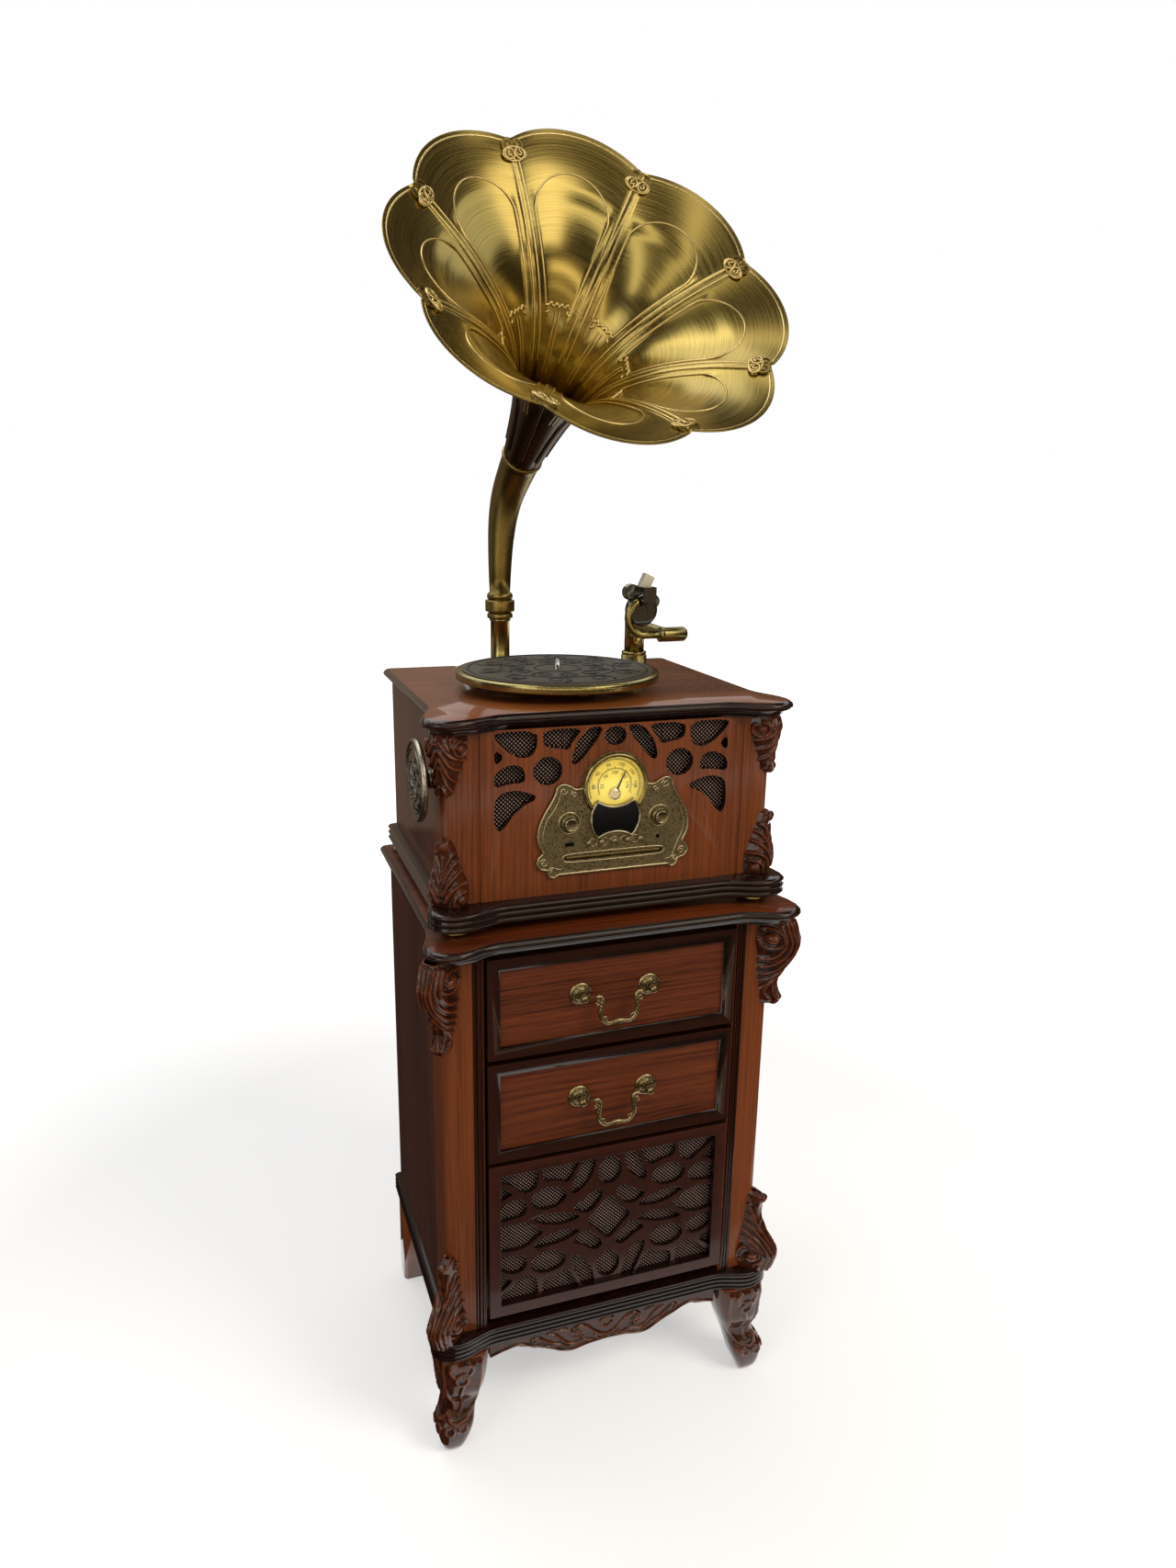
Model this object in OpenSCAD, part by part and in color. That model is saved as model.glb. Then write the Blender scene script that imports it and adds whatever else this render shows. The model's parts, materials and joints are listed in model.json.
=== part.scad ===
// Floor-standing gramophone with a petalled brass horn, a belt-driven turntable,
// a radio and disc player in the upper box, and a cabinet with two drawers below.
// Millimetres, Z up, floor at zero. The front faces -Y.

/* [Whole object] */
// How far the middle line of the cabinet lies behind the origin, because the horn leans forward
cab_y = 56; // [40:1:70]
// Gap between curved or moving pieces that face each other
gap = 0.3; // [0.2:0.05:0.5]
// Radial clearance of a shaft that turns in its bore
run_fit = 0.05; // [0.02:0.01:0.1]

/* [Lower cabinet] */
// Width over the front posts
cabinet_w = 504; // [440:1:600]
// From the middle line to the front of the posts
cabinet_front = 221; // [190:1:260]
// From the middle line to the back panel's outer face
cabinet_back_y = 192; // [160:1:230]
// Height of the legs under the plinth
leg_h = 168; // [120:1:220]
// Height of the reeded plinth
plinth_h = 30; // [24:1:40]
// Height of the carcass between plinth and top
carcass_h = 614; // [560:1:740]
// Thickness of the cabinet top
top_t = 22; // [18:1:30]
// Width of a front post
post_w = 59; // [48:1:70]
// Depth of a front post
post_d = 71; // [55:1:85]
// Thickness of side panels, shelves and rails
board_t = 12; // [9:1:16]
// How far the side panels stand back from the posts' outer faces
side_setback = 4; // [1:1:10]

/* [Drawers and grille] */
// Width of a drawer front and of the grille frame
front_w = 380; // [330:1:450]
// Thickness of drawer fronts and of the grille frame
front_t = 22; // [18:1:28]
// Height of the upper drawer's front
upper_drawer_h = 153; // [120:1:190]
// Height of the lower drawer's front
lower_drawer_h = 157; // [120:1:195]
// Gap between two fronts above each other
front_gap = 7; // [4:1:10]
// Rail that shows between the top and the upper drawer
top_rail_h = 14; // [8:1:24]
// Moulded border of a drawer front
drawer_border = 18; // [12:1:26]
// Depth of a drawer behind its front
drawer_depth = 345; // [250:1:360]
// Height of a drawer's inside
drawer_inside_h = 86; // [60:1:110]
// Thickness of a drawer's sides, back and bottom
drawer_wall = 9; // [6:1:12]
// Distance of a handle rose from the middle
handle_reach = 52.5; // [40:0.5:70]
// How far the bail hangs below its pivots
bail_drop = 41; // [30:1:50]
// Radius of a handle rose
rose_r = 17; // [12:1:22]
// Radius of the woofer's frame
woofer_r = 84; // [60:1:95]
// Thickness of the cut-out fretwork
fret_t = 8; // [5:1:10]

/* [Upper box] */
// Width over the box's corner posts
box_w = 484; // [420:1:560]
// From the middle line to the front of the box posts
box_front = 204; // [180:1:220]
// From the middle line to the box's back
box_back_y = 190; // [160:1:210]
// Height of the brass feet between cabinet and box
foot_h = 13; // [8:1:20]
// Radius of a brass foot
foot_r = 22; // [16:1:28]
// Height of the reeded base of the box
box_base_h = 27; // [20:1:36]
// Height of the box between its base and the deck
box_h = 238; // [205:1:290]
// Thickness of the deck board
deck_t = 22; // [18:1:30]
// Width of a box post
box_post_w = 60; // [48:1:70]

/* [Control plate] */
// Height of the dial's centre above the box floor
dial_z = 150.6; // [135:0.2:165]
// Outer radius of the dial's bezel
bezel_r = 48; // [42:1:54]
// Inner radius of the dial's bezel
dial_r = 42; // [36:0.5:46]
// Thickness of the plate
plate_t = 3; // [2:0.5:5]
// Distance of the two knobs from the middle
knob_x = 67; // [60:0.5:76]
// Height of the knobs above the box floor
knob_z = 103; // [92:0.5:112]
// Radius of a knob
knob_r = 11.5; // [8:0.5:14]
// Radius of a push button
button_r = 4.5; // [3:0.25:5.5]
// Spacing of the push buttons
button_pitch = 19.3; // [15:0.1:22]
// Height of the push buttons above the box floor
button_z = 72; // [68:0.5:80]
// Travel of a push button
button_travel = 2; // [1:0.5:3]
// Half width of the disc slot
slot_half = 73; // [66:1:76]
// Height of the disc slot
slot_h = 6; // [5:0.5:8]

/* [Turntable] */
// Platter centre, sideways
platter_x = -29.3; // [-60:0.1:0]
// Platter centre, front to back
platter_y = -36.3; // [-60:0.1:0]
// Radius of the platter
platter_r = 150; // [130:1:160]
// Height of the platter's top above the deck
platter_top = 27; // [22:1:34]
// Height of the platter's rim
rim_h = 11.5; // [8:0.5:16]
// Radius of the belt hub under the platter
hub_r = 58; // [48:1:70]
// Radius of the motor pulley
pulley_r = 6; // [4:0.5:10]
// Distance of the motor from the platter's centre
motor_reach = 104; // [96:1:118]
// Radius of the record spindle
spindle_r = 3.55; // [3.5:0.05:3.6]
// Radius of the side medallion wheel
wheel_r = 56; // [40:1:66]

/* [Horn] */
// Post of the horn, sideways
horn_x = -58.5; // [-80:0.5:-30]
// Post of the horn, front to back
horn_y = 178; // [160:1:184]
// Outer radius of the horn post
horn_post_r = 15.6; // [13:0.1:18]
// Height of the swivel collar's underside above the deck
collar_z = 79.4; // [60:0.2:110]
// Neck of the horn, sideways from its post
neck_dx = 20.3; // [0:0.1:30]
// Neck of the horn, forward of its post
neck_dy = 63; // [50:1:80]
// Neck of the horn, above the deck
neck_z = 333.1; // [320:0.1:380]
// Turn of the horn's axis away from straight ahead
horn_turn = 5.2; // [-20:0.1:20]
// Rise of the horn's axis above level
horn_rise = 39.4; // [25:0.1:55]
// Radius of the throat where the bell meets the elbow
throat_r = 29; // [24:0.5:34]
// Length of the bell along a seam
bell_s = 332; // [300:1:400]
// Radius of the bell at the end of a seam
seam_r = 251.5; // [200:0.1:262]
// Radius of the bell at the tip of a petal
tip_r = 274.7; // [265:0.1:310]
// How far a petal's tip reaches past the seams' ends
tip_s = 5; // [0:1:20]
// Thickness of the sheet
sheet_t = 1.2; // [0.8:0.1:2]
// Thickness of the rolled rim
lip_t = 3.2; // [2:0.1:5]

/* [Tonearm] */
// Pillar of the tonearm, sideways
arm_x = 156; // [135:1:185]
// Pillar of the tonearm, front to back
arm_y = 120; // [100:1:150]
// Height of the arm above the deck
arm_z = 71.5; // [66:0.5:90]
// Length of the arm from its pillar to the cross barrel
arm_len = 140; // [120:1:160]
// Radius of the turning column
column_r = 16.4; // [13:0.1:20]
// Radius of the cross barrel
barrel_r = 11.3; // [9:0.1:13]
// Radius of the gooseneck's bend
neck_bend_r = 26.5; // [20:0.5:32]
// Radius of the gooseneck's tube
neck_tube_r = 6; // [4.5:0.25:7.5]
// Radius of the sound box
sound_r = 25; // [20:0.5:30]

/* [Hidden] */
$fn = 64;

// Levels from the floor up
z_plinth = leg_h;
z_floor = z_plinth + plinth_h;
z_ceiling = z_floor + carcass_h;
z_top = z_ceiling + top_t;
z_box = z_top + foot_h;
z_box_floor = z_box + box_base_h;
z_deck_under = z_box_floor + box_h;
z_deck = z_deck_under + deck_t;

// Lower cabinet
post_x = cabinet_w / 2;
post_in = post_x - post_w;
post_back = -cabinet_front + post_d;
side_x = post_x - side_setback;
side_in = side_x - board_t - side_setback;
panel_y = cabinet_back_y - board_t;
rail_y = -cabinet_front + 15;
front_y = rail_y - front_t;
z_upper_top = z_ceiling - top_rail_h;
z_upper = z_upper_top - upper_drawer_h;
z_lower_top = z_upper - front_gap;
z_lower = z_lower_top - lower_drawer_h;
z_grille_top = z_lower - front_gap;
z_grille = z_floor + 18;
grille_mid = (z_grille + z_grille_top) / 2;
drawer_side_x = front_w / 2 - 6;
z_handle = [z_lower + lower_drawer_h * 0.53, z_upper + upper_drawer_h * 0.54];

// Upper box
box_x = box_w / 2;
box_post_in = box_x - box_post_w;
box_side_x = box_x - 6;
box_side_in = box_side_x - 14;
box_panel_y = -box_front + 12;
box_back_in = box_back_y - board_t;

// Control plate
plate_y = -box_front;
dial_c = z_box_floor + dial_z;
z_buttons = z_box_floor + button_z;
z_knobs = z_box_floor + knob_z;
z_slot = z_box_floor + 52;
pointer_z = dial_c - 11.6;
pointer_turn = 25;
pointer_len = 36;
window_z = dial_c - 45.6;
window_r = 35;
board_y = plate_y + 18;
inlet_x = 130;
z_inlet = z_box_floor + 24;

// Turntable
z_platter = z_deck + platter_top;
mat_t = 2;
shaft_r = 4;
sleeve_r = 9;
flange_h = 2;
z_hub = z_deck + 3;
motor_angle = 168;
motor_x = platter_x + motor_reach * cos(motor_angle);
motor_y = platter_y + motor_reach * sin(motor_angle);
belt_t = 0.8;
belt_w = 4;
z_belt = z_hub + 4;

// Horn
z_collar = z_deck + collar_z;
collar_h = 41.5;
spigot_r = 12.6;
neck_at = [horn_x + neck_dx, horn_y - neck_dy, z_deck + neck_z];
neck_dir = [sin(horn_turn) * cos(horn_rise), -cos(horn_turn) * cos(horn_rise), sin(horn_rise)];
seam_phase = 13.7;
petals = 8;
petal_steps = 8;
bell_rings = 15;
half_petal = 180 / petals;
cone_part = 40;
flare = 3.5;
lobe_half = seam_r * sin(half_petal);
lobe_rise = tip_r - seam_r * cos(half_petal);
lobe_r = (lobe_half * lobe_half + lobe_rise * lobe_rise) / (2 * lobe_rise);
lobe_c = tip_r - lobe_r;
rosette_back = 11;
rosette_lift = gap + 0.3;

// Tonearm
z_arm = z_deck + arm_z;
barrel_y = arm_y - arm_len;
barrel_from = arm_x - 16.5;
barrel_to = arm_x + 26;
fork_half = 6;
bend_x = arm_x - 41.5;
bend_z = z_arm + neck_bend_r;
bend_end = 110;
head_x = bend_x + 1;
head_z = bend_z + 10;

// Colours
mahogany = "#8a3a1c";
dark_wood = "#3a1a12";
maroon = "#4a1c16";
brass = "#b08d3c";
bronze = "#6f5c34";
black = "#141210";
cloth = "#8f7268";

// Maths and small shapes
function unit(v) = v / norm(v);
function ease(t) = (1 - cos(180 * t)) / 2;
function mix(a, b, t) = a + (b - a) * t;
function mean(list) = [
    for (i = [0 : len(list[0]) - 1])
        [for (p = list) p[i]] * [for (p = list) 1] / len(list)
];
function knot(p, i) = p[max(0, min(len(p) - 1, i))];
function between(a, b, c, d, t) =
    0.5 * (2 * b + (c - a) * t + (2 * a - 5 * b + 4 * c - d) * t * t + (3 * b - a - 3 * c + d) * t * t * t);
// A smooth line through a few points, with some steps from one to the next
function smooth(p, steps) = [
    for (i = [0 : len(p) - 2])
        for (k = [0 : steps - 1])
            between(knot(p, i - 1), p[i], p[i + 1], knot(p, i + 2), k / steps),
    p[len(p) - 1]
];
function bezier(p, t) = pow(1 - t, 3) * p[0] + 3 * pow(1 - t, 2) * t * p[1]
    + 3 * (1 - t) * t * t * p[2] + pow(t, 3) * p[3];
function bezier_dir(p, t) = unit(pow(1 - t, 2) * (p[1] - p[0])
    + 2 * (1 - t) * t * (p[2] - p[1]) + t * t * (p[3] - p[2]));
function arc(c, r, from, to, steps) = [
    for (i = [0 : steps]) let (a = mix(from, to, i / steps)) c + r * [cos(a), sin(a)]
];
// A rectangle about a centre, with round corners
function round_box(c, half, r, steps) = concat(
    arc(c + [half[0] - r, half[1] - r], r, 0, 90, steps),
    arc(c + [r - half[0], half[1] - r], r, 90, 180, steps),
    arc(c + [r - half[0], r - half[1]], r, 180, 270, steps),
    arc(c + [half[0] - r, r - half[1]], r, 270, 360, steps)
);
function lift(outline, z) = [for (p = outline) [p[0], p[1], z]];
// A ring of points about a line's point, square to the line
function ring_at(c, dir, ref, r, sides) = let (s = unit(cross(dir, ref)), u = cross(dir, s)) [
    for (i = [0 : sides - 1]) let (a = 360 * i / sides) c + r * cos(a) * s + r * sin(a) * u
];
function path_dir(p, i) = unit(knot(p, i + 1) - knot(p, i - 1));
function tube_rings(p, radii, ref, sides) = [
    for (i = [0 : len(p) - 1]) ring_at(p[i], path_dir(p, i), ref, radii[i], sides)
];

module at_cabinet() {
    translate([0, cab_y, 0])
        children();
}

module both_sides() {
    children();
    mirror([1, 0, 0])
        children();
}

// Draws a flat shape standing up, from y_back towards the front
module standing(y_back, thick) {
    translate([0, y_back, 0])
        rotate([90, 0, 0])
            linear_extrude(thick)
                children();
}

// Turns something built along Z so that it points forward from y_back
module facing(x, y_back, z) {
    translate([x, y_back, z])
        rotate([90, 0, 0])
            children();
}

module block(from, to) {
    translate(from)
        cube(to - from);
}

// A closed solid through rings of points, each seen counter-clockwise from its far side
module loft(rings) {
    n = len(rings[0]);
    m = len(rings);
    sides = [
        for (k = [0 : m - 2])
            for (i = [0 : n - 1])
                let (a = k * n + i, b = k * n + (i + 1) % n)
                    each [[a, a + n, b + n], [a, b + n, b]]
    ];
    first = [for (i = [0 : n - 1]) [m * n, i, (i + 1) % n]];
    last = [for (i = [0 : n - 1]) [m * n + 1, (m - 1) * n + (i + 1) % n, (m - 1) * n + i]];
    points = [for (r = rings) each r, mean(rings[0]), mean(rings[m - 1])];
    polyhedron(points, concat(sides, first, last));
}

// An open tube between outer and inner rings
module open_tube(outer, inner) {
    n = len(outer[0]);
    m = len(outer);
    q = n * m;
    e = q - n;
    walls = [
        for (k = [0 : m - 2])
            for (i = [0 : n - 1])
                let (a = k * n + i, b = k * n + (i + 1) % n)
                    each [
                        [a, a + n, b + n], [a, b + n, b],
                        [q + a, q + b + n, q + a + n], [q + a, q + b, q + b + n]
                    ]
    ];
    ends = [
        for (i = [0 : n - 1])
            let (j = (i + 1) % n)
                each [
                    [i, j, q + j], [i, q + j, q + i],
                    [e + i, q + e + i, q + e + j], [e + i, q + e + j, e + j]
                ]
    ];
    points = [for (r = outer) each r, for (r = inner) each r];
    polyhedron(points, concat(walls, ends));
}

// Serpentine boards
// One half of a board's outline: a straight front, an eared corner and a plain back corner
function board_half(w, ear, front, ear_front, back, flat_half) =
    let (ear_x = ear - 36, ear_y = ear_front + 30) concat(
        [for (i = [0 : 5]) [mix(flat_half, ear_x, i / 5), mix(-front, -ear_front, ease(i / 5))]],
        [for (i = [1 : 5]) [mix(ear_x, ear, sin(18 * i)), -ear_front + 30 * (1 - cos(18 * i))]],
        [for (i = [1 : 5]) [mix(ear, w, ease(i / 5)), mix(30 - ear_front, 105 - ear_front, i / 5)]],
        arc([w - 6, back - 6], 6, 0, 90, 2)
    );
function board_outline(size, inset) =
    let (half = board_half(size[0] - inset, size[1] - inset, size[2] - inset,
            size[3] - inset, size[4] - inset, size[5]))
        concat(half, [for (i = [len(half) - 1 : -1 : 0]) [-half[i][0], half[i][1]]]);

// A moulded board: each level of its edge is an inset and a height
module moulded_board(size, z, levels) {
    loft([for (level = levels) lift(board_outline(size, level[0]), z + level[1])]);
}

// Sizes of a board: half width, ear tip, front, ear front, back, half of the straight front
top_size = [post_x + 11, post_x + 28, cabinet_front + 37, cabinet_front + 56, cabinet_back_y + 16, 178];
plinth_size = [post_x + 5, post_x + 26, cabinet_front + 9, cabinet_front + 24, cabinet_back_y + 16, 178];
base_size = [box_x + 8, box_x + 24, box_front + 23, box_front + 42, box_back_y + 10, 160];
deck_size = [box_x + 6, box_x + 26, box_front + 8, box_front + 33, box_back_y + 17, 150];

// Levels of an edge with a number of half-round reeds
function reeds(count, height, depth) = [
    for (k = [0 : count - 1])
        for (i = [0 : 2])
            [depth * (1 - sin(20 + 70 * i)), height * (k + (i + 0.5) / 3) / count]
];
function reeded(count, height, depth) = concat([[depth + 2, 0]], reeds(count, height, depth), [[depth + 2, height]]);

module legs() {
    // Height, middle of the section and its half width on a front leg, measured outwards
    section = [
        [0, 248, 13], [12, 249, 19], [32, 247, 26], [50, 245, 29], [66, 238, 26],
        [84, 233, 27], [107, 233, 35], [132, 231, 39], [155, 231, 41], [leg_h, 229, 40]
    ];
    out = post_x - 252;
    color(dark_wood) at_cabinet() {
        both_sides()
            loft([
                for (s = section)
                    let (c = [s[1] + out, 27 - s[1] - (cabinet_front - 221)])
                        lift(round_box(c, [s[2], s[2]], s[2] * 0.55, 2), s[0])
            ]);
        both_sides()
            loft([
                for (s = [[0, 20], [leg_h * 0.55, 25], [leg_h, 32]])
                    lift(round_box([post_x - s[1], cabinet_back_y - s[1] + 6], [s[1], s[1]], 5, 1), s[0])
            ]);
    }
}

module apron() {
    // Lower edge from the middle outwards: distance and depth below the plinth
    edge = smooth([[0, 44], [30, 46], [62, 51], [91, 40], [118, 31], [143, 22], [168, 26], [188, 31]], 3);
    relief = smooth([[0, 40], [26, 40], [44, 32], [58, 36], [74, 26], [96, 24], [112, 16]], 2);
    y_front = -cabinet_front + 3;
    color(dark_wood) at_cabinet() {
        standing(y_front + 20, 20)
            polygon(concat(
                [for (p = edge) [p[0], z_plinth - p[1]]],
                [[188, z_plinth], [-188, z_plinth]],
                [for (i = [len(edge) - 1 : -1 : 1]) [-edge[i][0], z_plinth - edge[i][1]]]
            ));
        standing(y_front, 6)
            polygon(concat(
                [for (p = relief) [p[0], z_plinth - p[1]]],
                [[104, z_plinth - 9], [60, z_plinth - 7], [0, z_plinth - 6]],
                [[-60, z_plinth - 7], [-104, z_plinth - 9]],
                [for (i = [len(relief) - 1 : -1 : 1]) [-relief[i][0], z_plinth - relief[i][1]]]
            ));
    }
}

module base_moulding() {
    color(dark_wood) at_cabinet()
        moulded_board(plinth_size, z_plinth, reeded(4, plinth_h, 3));
}

module cabinet_sides() {
    color(mahogany) at_cabinet()
        both_sides()
            block([side_in, post_back, z_floor], [side_x, cabinet_back_y, z_ceiling]);
}

module cabinet_back() {
    color(mahogany) at_cabinet()
        difference() {
            block([-side_in, panel_y, z_floor], [side_in, cabinet_back_y, z_ceiling]);
            for (i = [-3 : 3])
                facing(i * 24, cabinet_back_y + 1, grille_mid)
                    linear_extrude(board_t + 2)
                        polygon(round_box([0, 0], [4, 45], 3.9, 4));
        }
}

// Outline of a front post with its rounded outer corner and a groove in its face
module post_outline(x_in, x_out, y_front, y_back) {
    r = 12;
    difference() {
        polygon(concat(
            [[x_out, y_back], [x_in, y_back], [x_in, y_front]],
            arc([x_out - r, y_front + r], r, 270, 360, 5)
        ));
        translate([x_in + 12, y_front])
            circle(r = 3, $fn = 24);
    }
}

module front_stiles() {
    color(mahogany) at_cabinet()
        both_sides()
            translate([0, 0, z_floor])
                linear_extrude(carcass_h)
                    post_outline(post_in, post_x, -cabinet_front, post_back);
}

// A shelf fills the width between the side panels and narrows between the posts
module shelf(z) {
    block([-side_in, post_back, z - board_t], [side_in, panel_y, z]);
    block([-post_in, rail_y, z - board_t], [post_in, post_back, z]);
}

module inner_framing() {
    color("#7c4a2a") at_cabinet() {
        for (z = [z_upper, z_lower])
            union() {
                shelf(z);
                both_sides()
                    block([drawer_side_x + 1, post_back, z], [drawer_side_x + 13, panel_y - 12, z + 24]);
            }
        block([-post_in, rail_y, z_upper_top + 2], [post_in, rail_y + 26, z_ceiling]);
        block([-post_in, rail_y, z_floor], [post_in, post_back, z_grille - 4]);
        difference() {
            block([-post_in, rail_y, z_grille - 4], [post_in, rail_y + board_t, z_lower - board_t]);
            facing(0, rail_y + board_t + 1, grille_mid)
                cylinder(h = board_t + 2, r = woofer_r - 12);
        }
    }
}

module cabinet_top() {
    color(mahogany) at_cabinet()
        moulded_board(top_size, z_ceiling, [
            [16, 0], [12, 3], [12, 6], [5, 9], [1, 12], [0, 15], [1, 18], [4, 21], [6, top_t]
        ]);
}

// One level of a corner console: how far it stands out and half its thickness
function console_ring(z, out, half) = [
    for (i = [0 : 8])
        let (a = -90 + 22.5 * i, c = pow(max(cos(a), 0), 0.62), s = sign(sin(a)) * pow(abs(sin(a)), 0.62))
            [-half + (out + half) * c, half * s, z],
    [-half - 12, half, z],
    [-half - 12, -half, z]
];

module console(x, y, levels) {
    translate([x, -y, 0])
        rotate([0, 0, -45])
            loft([for (level = levels) console_ring(level[0], level[1], level[2])]);
}

module cabinet_carvings() {
    // Levels of a console from its bottom: height, reach and half thickness
    upper = [
        [-148, 4, 9], [-144, 14, 12], [-135, 21, 14], [-122, 16, 14], [-107, 14, 16],
        [-87, 24, 18], [-62, 38, 20], [-42, 44, 22], [-27, 42, 22], [-gap, 34, 21]
    ];
    lower = [
        [gap, 34, 20], [17, 39, 21], [32, 42, 22], [47, 35, 20], [67, 22, 18],
        [92, 13, 15], [114, 15, 14], [128, 20, 13], [134, 15, 12], [140, 4, 9]
    ];
    color(dark_wood) at_cabinet()
        both_sides()
            difference() {
                union() {
                    console(post_x, cabinet_front, [for (l = upper) [z_ceiling + l[0], l[1], l[2]]]);
                    console(post_x, cabinet_front, [for (l = lower) [z_floor + l[0], l[1], l[2]]]);
                }
                translate([0, 0, z_floor - 1])
                    linear_extrude(carcass_h + 2)
                        union() {
                            post_outline(post_in, post_x, -cabinet_front, post_back);
                            translate([post_in + 1, 4 - cabinet_front])
                                square([post_w - 14, post_d - 5]);
                        }
            }
}

// A closed outline with each corner cut off at a quarter of its sides
function eased(p) = [
    for (i = [0 : len(p) - 1])
        let (a = p[i], b = p[(i + 1) % len(p)])
            each [a * 0.75 + b * 0.25, a * 0.25 + b * 0.75]
];

// A round cut-out: middle and half sizes
function oval(x, z, half_x, half_z) = [
    for (i = [0 : 13])
        [x + half_x * cos(360 * (i + 0.5) / 14), z + half_z * sin(360 * (i + 0.5) / 14)]
];

// Cut-outs of the lower grille in the quarter to the right of its middle and above, which leave looping bands
grille_quarter = [
    eased([[21, 118], [38, 118], [50, 91], [61, 66], [60, 53], [49, 56], [33, 70], [25, 88]]),
    eased([[8, 44], [21, 54], [32, 47], [46, 38], [60, 31], [52, 22], [38, 15], [24, 21]]),
    oval(97, 55, 28, 19),
    eased([[44, 118], [105, 118], [107, 88], [98, 83], [84, 82], [66, 75], [58, 88]]),
    eased([[113, 118], [180, 118], [180, 105], [150, 83], [136, 71], [125, 72], [114, 79]]),
    eased([[150, 74], [180, 97], [180, 60], [162, 69]]),
    eased([[133, 58], [145, 64], [158, 62], [180, 48], [180, 29], [152, 31], [135, 34], [130, 45]]),
    eased([[44, 12], [63, 22], [88, 28], [125, 27], [108, 12], [82, 5], [62, 6]])
];
grille_middle = oval(0, 82, 19, 23);
grille_side = eased([
    [103, 0], [119, 12], [131, 21], [150, 24], [180, 20], [180, -20], [150, -24], [131, -21], [119, -12]
]);
grille_diamond = eased([[38, 0], [19, 18], [0, 41], [-19, 18], [-38, 0], [-19, -18], [0, -41], [19, -18]]);

module grille_panel() {
    opening = [front_w / 2 - 18, (z_grille_top - z_grille) / 2 - 18];
    frame_half = [front_w / 2, (z_grille_top - z_grille) / 2];
    fit = [opening[0] / 172, opening[1] / 110.5];
    color(maroon) at_cabinet() {
        difference() {
            standing(rail_y, front_t)
                polygon(round_box([0, grille_mid], frame_half, 2, 1));
            standing(rail_y + 1, front_t + 2)
                polygon(round_box([0, grille_mid], opening, 1, 1));
        }
        standing(front_y + 6 + fret_t, fret_t)
            difference() {
                polygon(round_box([0, grille_mid], opening, 1, 1));
                translate([0, grille_mid]) {
                    for (sx = [-1, 1])
                        for (sz = [-1, 1])
                            for (c = grille_quarter)
                                polygon([for (p = c) [sx * fit[0] * p[0], sz * fit[1] * p[1]]]);
                    for (s = [-1, 1])
                        polygon([for (p = grille_middle) [p[0] * fit[0], s * fit[1] * p[1]]]);
                    for (s = [-1, 1])
                        polygon([for (p = grille_side) [s * fit[0] * p[0], p[1] * fit[1]]]);
                    polygon([for (p = grille_diamond) [p[0] * fit[0], p[1] * fit[1]]]);
                }
            }
    }
}

module speaker_cloth() {
    half = [front_w / 2 - 18 - gap, (z_grille_top - z_grille) / 2 - 18 - gap];
    color(cloth) at_cabinet() {
        standing(front_y + 6 + fret_t + gap + 1.2, 1.2)
            polygon(round_box([0, grille_mid], half, 1, 1));
        both_sides()
            union() {
                block([box_post_in - 108, box_panel_y + gap, z_deck_under - 86],
                    [box_post_in - 1, box_panel_y + gap + 1.2, z_deck_under - 1]);
                block([box_post_in - 87, box_panel_y + gap, z_deck_under - 148],
                    [box_post_in - 1, box_panel_y + gap + 1.2, z_deck_under - 85]);
            }
        block([-box_post_in + 109, box_panel_y + gap, z_deck_under - 60],
            [box_post_in - 109, box_panel_y + gap + 1.2, z_deck_under - 1]);
    }
}

// A loudspeaker facing forward: its frame, cone and magnet as one revolved body
module driver(r, depth) {
    rotate_extrude()
        polygon([
            [0, -depth], [r * 0.5, -depth], [r * 0.5, -depth * 0.62], [r * 0.3, -depth * 0.62],
            [r * 0.3, -depth * 0.56], [r * 0.84, -4], [r, -4], [r, 0], [r * 0.86, 0],
            [r * 0.8, -2], [r * 0.34, -depth * 0.42], [r * 0.3, -depth * 0.34], [0, -depth * 0.3]
        ]);
}

module woofer() {
    color(black) at_cabinet()
        facing(0, rail_y + board_t, grille_mid)
            driver(woofer_r, 78);
}

module box_feet() {
    color(brass) at_cabinet()
        both_sides()
            for (y = [5 - box_front, box_back_y - 20])
                translate([box_x - 16, y, z_top])
                    rotate_extrude()
                        polygon([
                            [0, 0], [foot_r - 2, 0], [foot_r, 2], [foot_r, foot_h * 0.5], [foot_r - 5, foot_h * 0.62],
                            [foot_r - 6, foot_h * 0.75], [foot_r - 3, foot_h * 0.85], [foot_r - 3, foot_h], [0, foot_h]
                        ]);
}

module box_base() {
    color(dark_wood) at_cabinet()
        moulded_board(base_size, z_box, reeded(3, box_base_h, 4));
}

module box_sides() {
    color(mahogany) at_cabinet()
        both_sides()
            block([box_side_in, box_post_w - box_front, z_box_floor], [box_side_x, box_back_y, z_deck_under]);
}

module box_back() {
    color(mahogany) at_cabinet()
        difference() {
            block([-box_side_in, box_back_in, z_box_floor], [box_side_in, box_back_y, z_deck_under]);
            block([inlet_x - 14, box_back_in - 1, z_inlet - 10], [inlet_x + 14, box_back_y + 1, z_inlet + 10]);
            for (i = [-4 : 4])
                facing(i * 16 - 90, box_back_y + 1, z_deck_under - 70)
                    linear_extrude(board_t + 2)
                        polygon(round_box([0, 0], [3, 24], 2.9, 4));
        }
}

module box_posts() {
    color(mahogany) at_cabinet()
        difference() {
            both_sides()
                translate([0, 0, z_box_floor])
                    linear_extrude(box_h)
                        post_outline(box_post_in, box_x, -box_front, box_post_w - box_front);
            at_wheel()
                translate([0, 0, -26])
                    cylinder(h = 40, r = 5 + run_fit);
        }
}

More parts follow.
